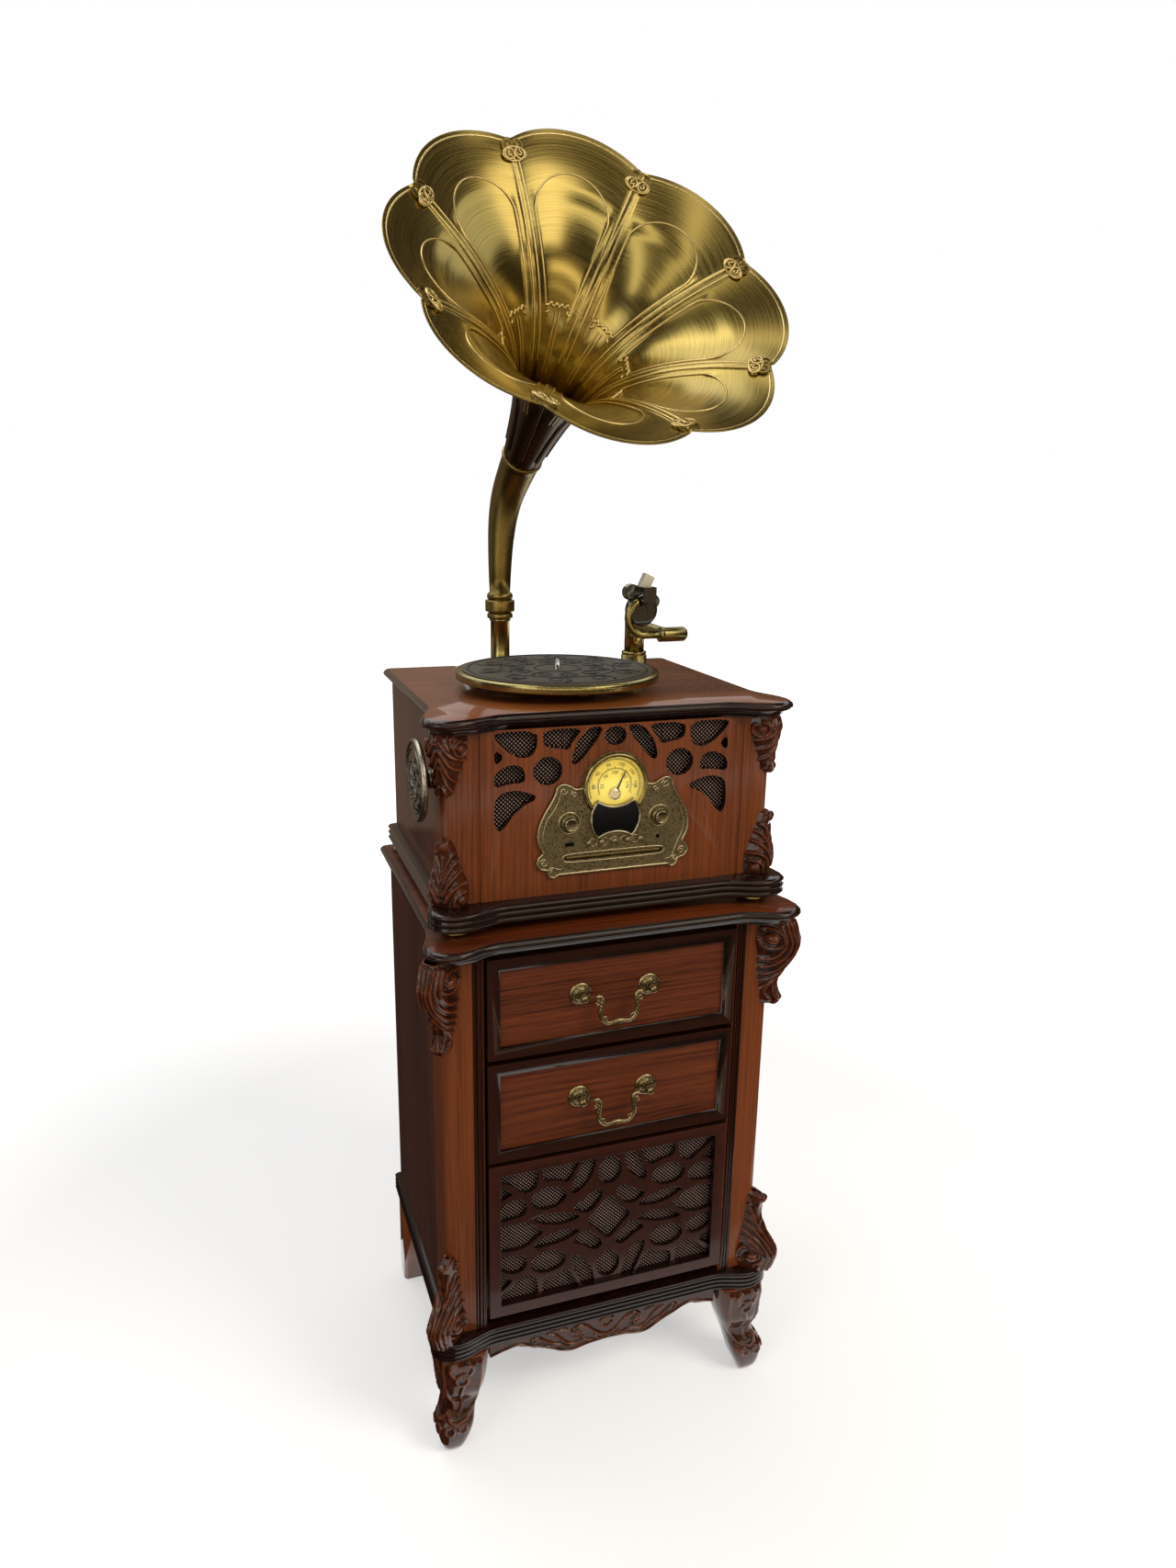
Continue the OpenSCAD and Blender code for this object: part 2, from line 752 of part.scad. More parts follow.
// Cut-outs of the box front to the right of its middle, by height below the deck
front_cells = [
    eased([[18, -3], [38, -3], [54, -20], [63, -42], [62, -55], [51, -50], [36, -33], [24, -17]]),
    eased([[47, -3], [103, -3], [105, -21], [96, -28], [80, -30], [68, -33], [60, -19]]),
    eased([[112, -3], [172, -3], [169, -15], [148, -34], [135, -40], [121, -39], [112, -28]]),
    eased([[157, -37], [171, -26], [171, -49]]),
    oval(97, -60, 21, 20),
    eased([[128, -67], [131, -54], [142, -48], [157, -50], [172, -61], [172, -79], [150, -74], [131, -74]]),
    eased([[108, -96], [130, -86], [150, -83], [168, -90], [172, -105], [172, -132], [163, -142], [138, -109]])
];

module front_panel() {
    color(mahogany) at_cabinet()
        difference() {
            block([-box_post_in, -box_front, z_box_floor], [box_post_in, box_panel_y, z_deck_under]);
            standing(box_panel_y + 1, 14)
                union() {
                    for (s = [-1, 1])
                        for (c = front_cells)
                            polygon([for (p = c) [s * p[0], z_deck_under + p[1]]]);
                    polygon([for (p = oval(0, -17, 16, 13.5)) [p[0], z_deck_under + p[1]]]);
                    polygon(round_box([0, (z_slot + z_box_floor + 127) / 2], [84, (z_box_floor + 155 - z_slot) / 2], 3, 2));
                }
            facing(0, box_panel_y + 1, dial_c)
                cylinder(h = 14, r = dial_r + 1);
        }
}

module box_carvings() {
    upper = [
        [-88, 2, 9], [-84, 5, 12], [-78, 8, 15], [-68, 6, 17], [-55, 6, 20],
        [-38, 9, 25], [-22, 12, 28], [-12, 12, 29], [-gap, 8, 27]
    ];
    lower = [
        [gap, 8, 27], [12, 10, 28], [26, 11, 28], [40, 9, 25], [56, 6, 20],
        [72, 6, 17], [84, 8, 15], [92, 7, 12], [97, 2, 9]
    ];
    color(dark_wood) at_cabinet()
        both_sides()
            difference() {
                union() {
                    console(box_x, box_front, [for (l = upper) [z_deck_under + l[0], l[1], l[2]]]);
                    console(box_x, box_front, [for (l = lower) [z_box_floor + l[0], l[1], l[2]]]);
                }
                translate([0, 0, z_box_floor - 1])
                    linear_extrude(box_h + 2)
                        union() {
                            post_outline(box_post_in, box_x, -box_front, box_post_w - box_front);
                            translate([box_post_in + 1, 4 - box_front])
                                square([box_post_w - 14, box_post_w - 5]);
                        }
            }
}

module box_speakers() {
    color(black) at_cabinet()
        both_sides()
            facing(box_post_in - 44, box_panel_y + 2 * gap + 1.2, z_deck_under - 62)
                driver(36, 30);
}

module deck_board() {
    color(mahogany) at_cabinet()
        difference() {
            moulded_board(deck_size, z_deck_under, [
                [14, 0], [10, 3], [10, 6], [4, 9], [1, 12], [0, 15], [1, 18], [4, 21], [6, deck_t]
            ]);
            translate([0, 0, z_deck_under - 1]) {
                translate([platter_x, platter_y, 0])
                    cylinder(h = deck_t + 2, r = sleeve_r + 0.1);
                translate([motor_x, motor_y, 0])
                    cylinder(h = deck_t + 2, r = 5);
                translate([horn_x, horn_y, 0])
                    cylinder(h = deck_t + 2, r = spigot_r + 0.1);
                translate([arm_x, arm_y, 0])
                    cylinder(h = deck_t + 2, r = sleeve_r + 0.1);
            }
        }
}

// Right half of the control plate's outline about the middle and the box floor
plate_edge = [
    [46, 151], [58, 150], [67, 155], [76, 158], [84, 154], [86, 146], [92, 134], [100, 121],
    [107, 107], [111, 92], [110, 76], [104, 63], [110, 56], [112, 47], [107, 40], [98, 37],
    [95, 29], [88, 26], [82, 30]
];

module plate_outline() {
    edge = smooth(plate_edge, 3);
    polygon(concat(
        [for (p = edge) p + [0, z_box_floor]],
        [for (i = [len(edge) - 1 : -1 : 0]) [-edge[i][0], edge[i][1] + z_box_floor]]
    ));
    translate([0, dial_c])
        circle(r = bezel_r + 1.5, $fn = 96);
}

// The display's shape: round sides, with a dip at the top and a rise at the bottom
module window_outline(grow) {
    difference() {
        translate([0, window_z])
            circle(r = window_r + grow);
        translate([0, window_z + 61])
            circle(r = 45 - grow);
        translate([0, window_z - 61])
            circle(r = 43 - grow);
    }
}

// The dial's shape: a disc with the display taken out of it
module dial_outline(r, margin) {
    difference() {
        translate([0, dial_c])
            circle(r = r, $fn = 96);
        window_outline(margin);
        translate([-r, window_z - r])
            square([2 * r, r]);
    }
}

module control_plate() {
    color(bronze) at_cabinet()
        difference() {
            standing(plate_y, plate_t)
                plate_outline();
            standing(plate_y + 1, plate_t + 2)
                union() {
                    dial_outline(dial_r, 3);
                    window_outline(0);
                    polygon(round_box([0, z_slot], [slot_half, slot_h / 2], slot_h / 2 - 0.1, 4));
                    polygon(round_box([-66, z_buttons], [6.5, 2.7], 0.5, 1));
                }
            for (x = [-knob_x, knob_x])
                facing(x, plate_y + 1, z_knobs)
                    cylinder(h = plate_t + 2, r = 5);
            for (i = [-2 : 2])
                facing(i * button_pitch, plate_y + 1, z_buttons)
                    cylinder(h = plate_t + 2, r = button_r + gap);
            facing(66, plate_y + 1, z_buttons)
                cylinder(h = plate_t + 2, r = 3);
        }
}

module dial_bezel() {
    color(brass) at_cabinet() {
        difference() {
            facing(0, plate_y - plate_t, dial_c)
                rotate_extrude($fn = 96)
                    polygon([
                        [dial_r, 0], [bezel_r, 0], [bezel_r, 2], [bezel_r - 1.5, 4.5],
                        [bezel_r - 3.5, 5.5], [dial_r + 0.8, 4], [dial_r, 4]
                    ]);
            facing(0, plate_y - plate_t + 1, window_z)
                cylinder(h = 9, r = window_r + 3);
        }
        standing(plate_y - plate_t, 3)
            difference() {
                window_outline(2.6);
                window_outline(0);
            }
    }
}

module dial_face() {
    color("#e8cf5a") at_cabinet()
        difference() {
            standing(plate_y + 1.4, 1)
                dial_outline(dial_r + 0.8, 2.6);
            facing(0, plate_y + 3, pointer_z)
                cylinder(h = 4, r = 2.5);
        }
}

module dial_glass() {
    color("#f4ecd0", 0.3) at_cabinet()
        standing(plate_y - plate_t - 2, 1)
            dial_outline(dial_r - gap, 3);
}

module display_window() {
    color(black) at_cabinet()
        standing(plate_y + 1, plate_t + 2.4)
            window_outline(-gap);
}

module control_board() {
    bush_h = 15;
    color("#2f5a34") at_cabinet() {
        difference() {
            union() {
                block([-81, board_y, z_box_floor + 66], [81, board_y + 1.6, z_box_floor + 146]);
                for (x = [-knob_x, knob_x])
                    facing(x, board_y, z_knobs)
                        cylinder(h = bush_h, r = 4.6);
                facing(0, board_y, pointer_z)
                    cylinder(h = 10, r = 4);
                for (i = [-2 : 2])
                    facing(i * button_pitch, board_y, z_buttons)
                        cylinder(h = 11, r = 4);
                block([-28, board_y - 14, window_z - 17], [28, board_y, window_z + 14]);
                block([-72.5, board_y - 16, z_buttons - 2.6], [-59.5, board_y, z_buttons + 2.6]);
                facing(66, board_y, z_buttons)
                    cylinder(h = 16, r = 4.5);
            }
            for (x = [-knob_x, knob_x])
                facing(x, board_y + 2, z_knobs)
                    cylinder(h = bush_h + 4, r = 3 + run_fit);
            facing(0, board_y + 2, pointer_z)
                cylinder(h = 14, r = 1.5 + run_fit);
            block([-71.7, board_y - 17, z_buttons - 1.9], [-60.3, board_y - 5, z_buttons - 0.3]);
            facing(66, board_y - 2, z_buttons)
                cylinder(h = 16, r = 1.8);
        }
    }
}

module disc_drive() {
    color("#9a9a98") at_cabinet()
        difference() {
            block([-slot_half - 3, plate_y + 0.5, z_slot - 13], [slot_half + 3, plate_y + 150, z_slot + 12]);
            block([-slot_half, plate_y - 1, z_slot - slot_h / 2], [slot_half, plate_y + 138, z_slot + slot_h / 2]);
        }
    color("#9a9a98") at_cabinet()
        both_sides()
            block([slot_half - 9, plate_y + 40, z_box_floor], [slot_half + 3, plate_y + 52, z_slot - 13]);
}

module power_supply() {
    color("#3c3c3e") at_cabinet() {
        difference() {
            union() {
                block([inlet_x - 13.8, box_back_in - 4, z_inlet - 9.8], [inlet_x + 13.8, box_back_y, z_inlet + 9.8]);
                block([inlet_x - 17, box_back_y, z_inlet - 13], [inlet_x + 17, box_back_y + 2, z_inlet + 13]);
            }
            block([inlet_x - 10.5, box_back_y - 12, z_inlet - 6.5], [inlet_x + 10.5, box_back_y + 3, z_inlet + 6.5]);
        }
        block([inlet_x - 50, box_back_in - 104, z_box_floor], [inlet_x + 50, box_back_in - 4, z_box_floor + 48]);
    }
}

module turntable_motor() {
    color("#8c8c90") at_cabinet()
        translate([motor_x, motor_y, 0])
            difference() {
                union() {
                    translate([0, 0, z_deck_under - 34])
                        cylinder(h = 34, r = 19);
                    translate([0, 0, z_deck_under])
                        cylinder(h = 8, r = 4.8);
                }
                translate([0, 0, z_deck_under - 24])
                    cylinder(h = 40, r = 1.5 + run_fit);
            }
}

module platter_bearing() {
    color("#b9b9b4") at_cabinet()
        translate([platter_x, platter_y, 0])
            difference() {
                union() {
                    translate([0, 0, z_deck_under - 18])
                        cylinder(h = deck_t + 18, r = sleeve_r);
                    translate([0, 0, z_deck])
                        cylinder(h = flange_h, r = 18);
                }
                translate([0, 0, z_deck_under - 14])
                    cylinder(h = 60, r = shaft_r + run_fit);
            }
}

// Outline of a belt round the hub and the pulley, grown by a little
function belt_outline(grow) =
    let (a = acos((hub_r - pulley_r) / motor_reach)) concat(
        arc([0, 0], hub_r + grow, a, 360 - a, 40),
        arc([motor_reach, 0], pulley_r + grow, -a, a, 10)
    );

module drive_belt() {
    color(black) at_cabinet()
        translate([platter_x, platter_y, z_belt])
            rotate([0, 0, motor_angle])
                linear_extrude(belt_w)
                    difference() {
                        polygon(belt_outline(gap + belt_t));
                        polygon(belt_outline(gap));
                    }
}

module horn_post() {
    color(brass) at_cabinet()
        translate([horn_x, horn_y, 0])
            rotate_extrude()
                polygon([
                    [9, z_deck_under], [spigot_r, z_deck_under], [spigot_r, z_deck],
                    [27, z_deck], [27, z_deck + 3], [22, z_deck + 6], [horn_post_r + 2, z_deck + 9],
                    [horn_post_r, z_deck + 12], [horn_post_r, z_collar - 5], [horn_post_r + 1.5, z_collar - 4],
                    [horn_post_r + 1.5, z_collar], [spigot_r, z_collar],
                    [spigot_r, z_collar + 34], [9, z_collar + 34]
                ]);
}

module tonearm_base() {
    color(bronze) at_cabinet()
        translate([arm_x, arm_y, 0])
            rotate_extrude()
                polygon([
                    [8 + run_fit, z_deck_under - 14], [sleeve_r, z_deck_under - 14], [sleeve_r, z_deck],
                    [27, z_deck], [27, z_deck + 3], [21.4, z_deck + 6], [21.4, z_deck + 20],
                    [19.6, z_deck + 21], [20.6, z_deck + 23], [20.6, z_deck + 26],
                    [8 + run_fit, z_deck + 26]
                ]);
}

module platter() {
    color(bronze) at_cabinet()
        translate([platter_x, platter_y, 0])
            rotate_extrude($fn = 128)
                polygon([
                    [shaft_r + 0.02, z_hub], [hub_r, z_hub], [hub_r, z_platter - 4], [platter_r - 7, z_platter - 4],
                    [platter_r - 7, z_platter - rim_h], [platter_r - 2, z_platter - rim_h],
                    [platter_r, z_platter - rim_h + 1.5], [platter_r - 0.8, z_platter - rim_h + 4],
                    [platter_r, z_platter - rim_h + 5.5], [platter_r, z_platter - 1.2],
                    [platter_r - 1.2, z_platter], [shaft_r + 0.02, z_platter]
                ]);
}

module platter_mat() {
    color("#3b2a20") at_cabinet()
        translate([platter_x, platter_y, z_platter])
            difference() {
                cylinder(h = mat_t, r = platter_r - 9, $fn = 128);
                translate([0, 0, -1])
                    cylinder(h = mat_t + 2, r = 6.5);
            }
}

module spindle() {
    color("#c9c9c4") at_cabinet()
        translate([platter_x, platter_y, 0])
            rotate_extrude($fn = 48)
                polygon([
                    [0, z_deck_under - 13.7], [shaft_r, z_deck_under - 13.7], [shaft_r, z_platter],
                    [5.5, z_platter], [5.5, z_platter + 1.5], [spindle_r, z_platter + 1.8],
                    [spindle_r, z_platter + 13], [2.4, z_platter + 15], [0, z_platter + 15.5]
                ]);
}

module motor_pulley() {
    color("#c9a24a") at_cabinet()
        translate([motor_x, motor_y, 0])
            rotate_extrude($fn = 48)
                polygon([
                    [0, z_deck_under - 23.7], [1.5, z_deck_under - 23.7], [1.5, z_belt - 2],
                    [pulley_r + 1.6, z_belt - 2], [pulley_r + 1.6, z_belt - 0.8], [pulley_r, z_belt - 0.4],
                    [pulley_r, z_belt + belt_w + 0.4], [pulley_r + 1.6, z_belt + belt_w + 0.8],
                    [pulley_r + 1.6, z_belt + belt_w + 2], [0, z_belt + belt_w + 2]
                ]);
}

module horn_elbow() {
    ends = [
        [horn_x, horn_y, z_collar + collar_h],
        [horn_x, horn_y, z_collar + collar_h + 136],
        neck_at - 95 * neck_dir,
        neck_at
    ];
    steps = 16;
    // Distance back from the bell and height of the bead round the neck
    bead = [[8, 0], [6.5, 1.4], [3.5, 2.1], [1, 1.4], [0, 0]];
    along = [
        for (i = [0 : steps - 1])
            let (t = i / steps)
                [bezier(ends, t), bezier_dir(ends, t), 16.8 + (throat_r - 15.6) * pow(t, 0.9), 13.6 + (throat_r - 14.4) * pow(t, 0.9)],
        for (b = bead)
            [neck_at - b[0] * neck_dir, neck_dir, throat_r + 1.2 + b[1], throat_r - 0.8]
    ];
    outer = [for (a = along) ring_at(a[0], a[1], [1, 0, 0], a[2], 24)];
    inner = [for (a = along) ring_at(a[0], a[1], [1, 0, 0], a[3], 24)];
    color(brass) at_cabinet() {
        open_tube(outer, inner);
        translate([horn_x, horn_y, z_collar + gap])
            rotate_extrude()
                polygon([
                    [spigot_r + run_fit, 0], [20.2, 0], [20.9, 1.5], [20.9, 6], [20.2, 7.5], [18.6, 8.5], [18.6, 10],
                    [23.5, 11], [23.9, 13], [23.9, 27], [23.5, 29], [19, 30], [19, 31],
                    [20.9, 32], [20.9, 38], [19, 40.5], [18.5, collar_h - gap], [spigot_r + run_fit, collar_h - gap]
                ]);
    }
}

// Places something built along Z on the horn's axis
module at_neck() {
    translate(neck_at)
        rotate([90 - horn_rise, 0, horn_turn])
            children();
}

// Radius of the bell on a seam, at a distance from the throat
function seam_at(s) = let (x = s / bell_s)
    throat_r + cone_part * x + (seam_r - throat_r - cone_part) * pow(x, flare);
function seam_slope(s) = let (x = s / bell_s)
    atan((cone_part + flare * (seam_r - throat_r - cone_part) * pow(x, flare - 1)) / bell_s);
// Radius of the scalloped rim, at an angle from the middle of a petal
function rim_at(a) = lobe_c * cos(a) + sqrt(lobe_r * lobe_r - pow(lobe_c * sin(a), 2));
// A point of the sheet: column round the bell, step along it, and offset from its inner face
function bell_point(column, step, off) =
    let (
        a = half_petal * (2 * (column % petal_steps) / petal_steps - 1),
        turn = seam_phase + 2 * half_petal * column / petal_steps,
        swell = (rim_at(a) - seam_r) / (tip_r - seam_r),
        s_end = bell_s + tip_s * swell,
        u = 1 - pow(1 - step / bell_rings, 1.7),
        s = s_end * u,
        full = rim_at(a) / seam_at(s_end) - 1,
        r = seam_at(s) * (1 + full * u * u + 0.05 * swell * (1 - u)),
        slope = step == 0 ? 0 : seam_slope(s),
        z = s - off * sin(slope),
        radius = r + off * cos(slope)
    ) [radius * cos(turn), radius * sin(turn), z];

module horn_bell() {
    columns = petals * petal_steps;
    wall = [for (i = [0 : bell_rings]) i < bell_rings ? sheet_t : lip_t];
    color(brass) at_cabinet()
        at_neck()
            open_tube(
                [for (i = [0 : bell_rings]) [for (j = [0 : columns - 1]) bell_point(j, i, wall[i])]],
                [for (i = [0 : bell_rings]) [for (j = [0 : columns - 1]) bell_point(j, i, 0)]]
            );
}

module horn_rosettes() {
    tilt = seam_slope(bell_s);
    color(brass) at_cabinet()
        at_neck()
            for (k = [0 : petals - 1])
                rotate([0, 0, seam_phase + 2 * half_petal * k])
                    translate([seam_r - rosette_back * sin(tilt), 0, bell_s - rosette_back * cos(tilt)])
                        rotate([0, tilt - 90, 0])
                            rosette();
}

// A double scroll on a seam's end: two coils on one plate
module rosette() {
    difference() {
        union() {
            for (s = [-1, 1])
                translate([2, s * 7.5, rosette_lift])
                    cylinder(h = 2.8, r = 8.5, $fn = 32);
            translate([-5, 0, rosette_lift])
                cylinder(h = 2.2, r = 8.5, $fn = 32);
        }
        for (s = [-1, 1])
            translate([2, s * 7.5, rosette_lift + 1.6])
                difference() {
                    cylinder(h = 4, r = 6.3, $fn = 32);
                    cylinder(h = 4, r = 2.6, $fn = 24);
                }
    }
}

module at_arm() {
    at_cabinet()
        translate([arm_x, arm_y, 0])
            children();
}

module tonearm_swivel() {
    color(bronze) at_arm()
        difference() {
            union() {
                translate([0, 0, z_deck_under - 10])
                    cylinder(h = deck_t + 40, r = 8);
                translate([0, 0, z_deck + 26 + gap])
                    cylinder(h = arm_z - 15, r = column_r);
                translate([0, 0, z_arm + 11])
                    cylinder(h = 2, r1 = column_r, r2 = column_r - 2);
            }
            block([-fork_half, -30, z_arm - 14], [fork_half, 30, z_arm + 20]);
            translate([-20, 0, z_arm])
                rotate([0, 90, 0])
                    cylinder(h = 40, r = 2.5);
        }
}

module tonearm_tube() {
    color(bronze) at_arm() {
        difference() {
            union() {
                translate([0, -column_r - 5, z_arm])
                    rotate([90, 0, 0])
                        cylinder(h = arm_len - column_r - 5, r1 = 9, r2 = 8);
                block([0.4 - fork_half, -column_r - 6, z_arm - 7], [fork_half - 0.4, 7, z_arm + 7]);
                translate([barrel_from + 6 - arm_x, -arm_len, z_arm])
                    rotate([0, 90, 0])
                        cylinder(h = barrel_to - barrel_from - 8, r = barrel_r);
                translate([barrel_to - 2 - arm_x, -arm_len, z_arm])
                    rotate([0, 90, 0])
                        cylinder(h = 4, r1 = barrel_r, r2 = barrel_r - 3);
            }
            translate([-20, 0, z_arm])
                rotate([0, 90, 0])
                    cylinder(h = 40, r = 2.5);
            translate([barrel_from - arm_x, -arm_len, z_arm])
                rotate([0, 90, 0])
                    cylinder(h = 28, r = 6 + run_fit);
        }
        translate([1 - column_r, 0, z_arm])
            rotate([0, 90, 0])
                cylinder(h = 2 * column_r - 2, r = 2.45);
    }
}

module gooseneck() {
    steps = 11;
    sides = 14;
    start = ring_at([barrel_from + 2, barrel_y, z_arm], [-1, 0, 0], [0, 1, 0], neck_tube_r, sides);
    bend = [
        for (i = [0 : steps])
            let (a = mix(270, bend_end, i / steps), c = [bend_x, barrel_y, bend_z] + neck_bend_r * [cos(a), 0, sin(a)])
                ring_at(c, [sin(a), 0, -cos(a)], [0, 1, 0], neck_tube_r, sides)
    ];
    color(bronze) at_cabinet() {
        loft([start, each bend]);
        translate([barrel_from, barrel_y, z_arm])
            rotate([0, 90, 0])
                cylinder(h = 5.6, r = barrel_r);
        translate([barrel_from, barrel_y, z_arm])
            rotate([0, 90, 0])
                cylinder(h = 27, r = 6);
    }
}

module sound_box() {
    y_back = barrel_y + neck_tube_r + 18;
    color(black) at_cabinet() {
        difference() {
            union() {
                facing(head_x, y_back, head_z)
                    rotate_extrude()
                        polygon([[0, 0], [sound_r - 4, 0], [sound_r, 3], [sound_r, 12], [sound_r - 3, 16], [0, 16]]);
                facing(bend_x - 16, y_back, head_z + 27)
                    cylinder(h = 14, r = 12.5);
                facing(head_x + 17, y_back - 1, head_z + 13)
                    cylinder(h = 12, r = 11);
                block([bend_x - 5, barrel_y - 9, head_z + 13], [head_x + 14, y_back - 1, head_z + 36]);
                translate([bend_x + neck_bend_r * cos(bend_end), barrel_y, bend_z + neck_bend_r * sin(bend_end)])
                    rotate([0, 180 - bend_end, 0])
                        translate([0, 0, gap])
                            cylinder(h = 12, r = neck_tube_r + 2.5);
            }
            facing(head_x, y_back - 14, head_z)
                cylinder(h = 4, r = 8);
        }
        translate([head_x + 4, y_back - 7, head_z + 36])
            rotate([0, 25, 0])
                block([-8, -7, -8], [8, 7, 18]);
    }
}

// Drawers
module drawer(z, h) {
    inside = drawer_wall + gap;
    z_bottom = z + gap;
    at_cabinet() {
        difference() {
            block([-front_w / 2, front_y - gap, z], [front_w / 2, rail_y - gap, z + h]);
            block([drawer_border - front_w / 2, front_y - 1, z + drawer_border],
                [front_w / 2 - drawer_border, front_y + 5, z + h - drawer_border]);
        }
        difference() {
            block([-drawer_side_x, rail_y - gap, z_bottom],
                [drawer_side_x, rail_y + drawer_depth, z_bottom + drawer_inside_h + drawer_wall]);
            block([-drawer_side_x + drawer_wall, rail_y - gap, z_bottom + drawer_wall],
                [drawer_side_x - drawer_wall, rail_y + drawer_depth - drawer_wall, z + h]);
        }
    }
}

// The two roses of a handle, with the posts that carry the bail
module roses(z) {
    at_cabinet()
        both_sides()
            difference() {
                facing(handle_reach, front_y + 5, z)
                    rotate_extrude()
                        polygon([
                            [0, 0], [rose_r, 0], [rose_r, 1.5], [rose_r - 3, 3.5], [rose_r - 6, 2.5],
                            [rose_r - 9, 4.5], [5, 5], [4.2, 7], [4.2, 13], [5.8, 15], [5.8, 22], [4, 24], [0, 24.5]
                        ]);
                translate([handle_reach - 10, front_y - 13.5, z])
                    rotate([0, 90, 0])
                        cylinder(h = 20, r = 1.5 + run_fit);
            }
}

module bail(z) {
    y = front_y - 13.5;
    right = [
        [handle_reach - 17, 0], [handle_reach - 24, 0], [handle_reach - 27, -5], [handle_reach - 25.5, -16],
        [handle_reach - 24.5, -26], [handle_reach - 27.5, -36], [handle_reach - 35.5, -bail_drop - 1.5],
        [handle_reach - 44, -bail_drop - 1]
    ];
    line = smooth(concat(
        [for (p = right) [-p[0], p[1]]],
        [[0, -bail_drop]],
        [for (i = [len(right) - 1 : -1 : 0]) right[i]]
    ), 2);
    at_cabinet()
        translate([0, y, z]) {
            loft(tube_rings([for (p = line) [p[0], 0, p[1]]],
                [for (p = line) 2.2 + 1.8 * exp(-pow(p[0] / 9, 2))], [0, 1, 0], 8));
            for (s = [-1, 1])
                translate([s * handle_reach, 0, 0])
                    rotate([0, s * -90, 0])
                        translate([0, 0, -5])
                            cylinder(h = 24, r = 1.5);
        }
}

module upper_drawer() {
    color(mahogany)
        drawer(z_upper, upper_drawer_h);
}

module upper_roses() {
    color(brass)
        roses(z_handle[1]);
}

module upper_bail() {
    color(brass)
        bail(z_handle[1]);
}

module lower_drawer() {
    color(mahogany)
        drawer(z_lower, lower_drawer_h);
}

module lower_roses() {
    color(brass)
        roses(z_handle[0]);
}

module lower_bail() {
    color(brass)
        bail(z_handle[0]);
}

// A radio knob on its shaft
module knob(x) {
    color(bronze) at_cabinet()
        facing(x, plate_y - plate_t - gap, z_knobs)
            rotate_extrude()
                polygon([
                    [0, -16], [3, -16], [3, 0], [knob_r, 0], [knob_r, 5], [knob_r - 1.5, 6.5],
                    [knob_r - 1.5, 10], [knob_r - 3, 12], [knob_r - 5, 11], [0, 11]
                ]);
}

module tuning_knob() {
    knob(knob_x);
}

module volume_knob() {
    knob(-knob_x);
}

module dial_pointer() {
    color(black) at_cabinet()
        translate([0, plate_y, pointer_z])
            rotate([0, pointer_turn, 0]) {
                rotate([90, 0, 0])
                    union() {
                        translate([0, 0, -board_y + plate_y + 1])
                            cylinder(h = board_y - plate_y + 2, r = 1.5);
                        translate([0, 0, 1.5])
                            cylinder(h = 2, r = 6);
                    }
                standing(-1.7, 1.2)
                    polygon([[-1.6, 0], [1.6, 0], [0.5, pointer_len], [-0.5, pointer_len]]);
            }
}

// The wheel's axis lies across the box; its local Z points out of the left side
module at_wheel() {
    translate([-box_x, 39 - box_front, z_deck_under - 70])
        rotate([0, -90, 0])
            children();
}

module side_wheel() {
    color(bronze) at_cabinet()
        at_wheel()
            rotate_extrude($fn = 96)
                polygon([
                    [0, -25], [5, -25], [5, gap], [13, gap], [13, 4], [11.5, 6],
                    [13, 8], [11.5, 10], [13, 12], [13, 20.5], [wheel_r - 3, 20.5], [wheel_r, 23.5],
                    [wheel_r, 27], [wheel_r - 3, 30], [wheel_r - 6, 27.5], [wheel_r - 9, 28.5],
                    [wheel_r - 12, 27], [14, 27], [12, 29], [0, 30]
                ]);
}

// A push button with a collar behind the plate
module button(i) {
    color(bronze) at_cabinet()
        facing((i - 3) * button_pitch, plate_y + 3, z_buttons)
            rotate_extrude($fn = 32)
                polygon([
                    [0, 0], [button_r + 1.3, 0], [button_r + 1.3, 2.5], [button_r, 2.5],
                    [button_r, 9], [button_r - 1, 10.5], [0, 11]
                ]);
}

legs();
apron();
base_moulding();
cabinet_sides();
cabinet_back();
front_stiles();
inner_framing();
cabinet_top();
cabinet_carvings();
grille_panel();
speaker_cloth();
woofer();
box_feet();
box_base();
box_sides();
box_back();
box_posts();
front_panel();
box_carvings();
box_speakers();
deck_board();
control_plate();
dial_bezel();
dial_face();
dial_glass();
display_window();
control_board();
disc_drive();
power_supply();
turntable_motor();
platter_bearing();
drive_belt();
horn_post();
tonearm_base();
platter();
platter_mat();
spindle();
motor_pulley();
horn_elbow();
horn_bell();
horn_rosettes();
tonearm_swivel();
tonearm_tube();
gooseneck();
sound_box();
upper_drawer();
upper_roses();
upper_bail();
lower_drawer();
lower_roses();
lower_bail();
tuning_knob();
volume_knob();
dial_pointer();
side_wheel();
button(1);  // button_1
button(2);  // button_2
button(3);  // button_3
button(4);  // button_4
button(5);  // button_5
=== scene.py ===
import json
import math
import bpy
import bmesh
import numpy as np
from mathutils import Matrix, Vector

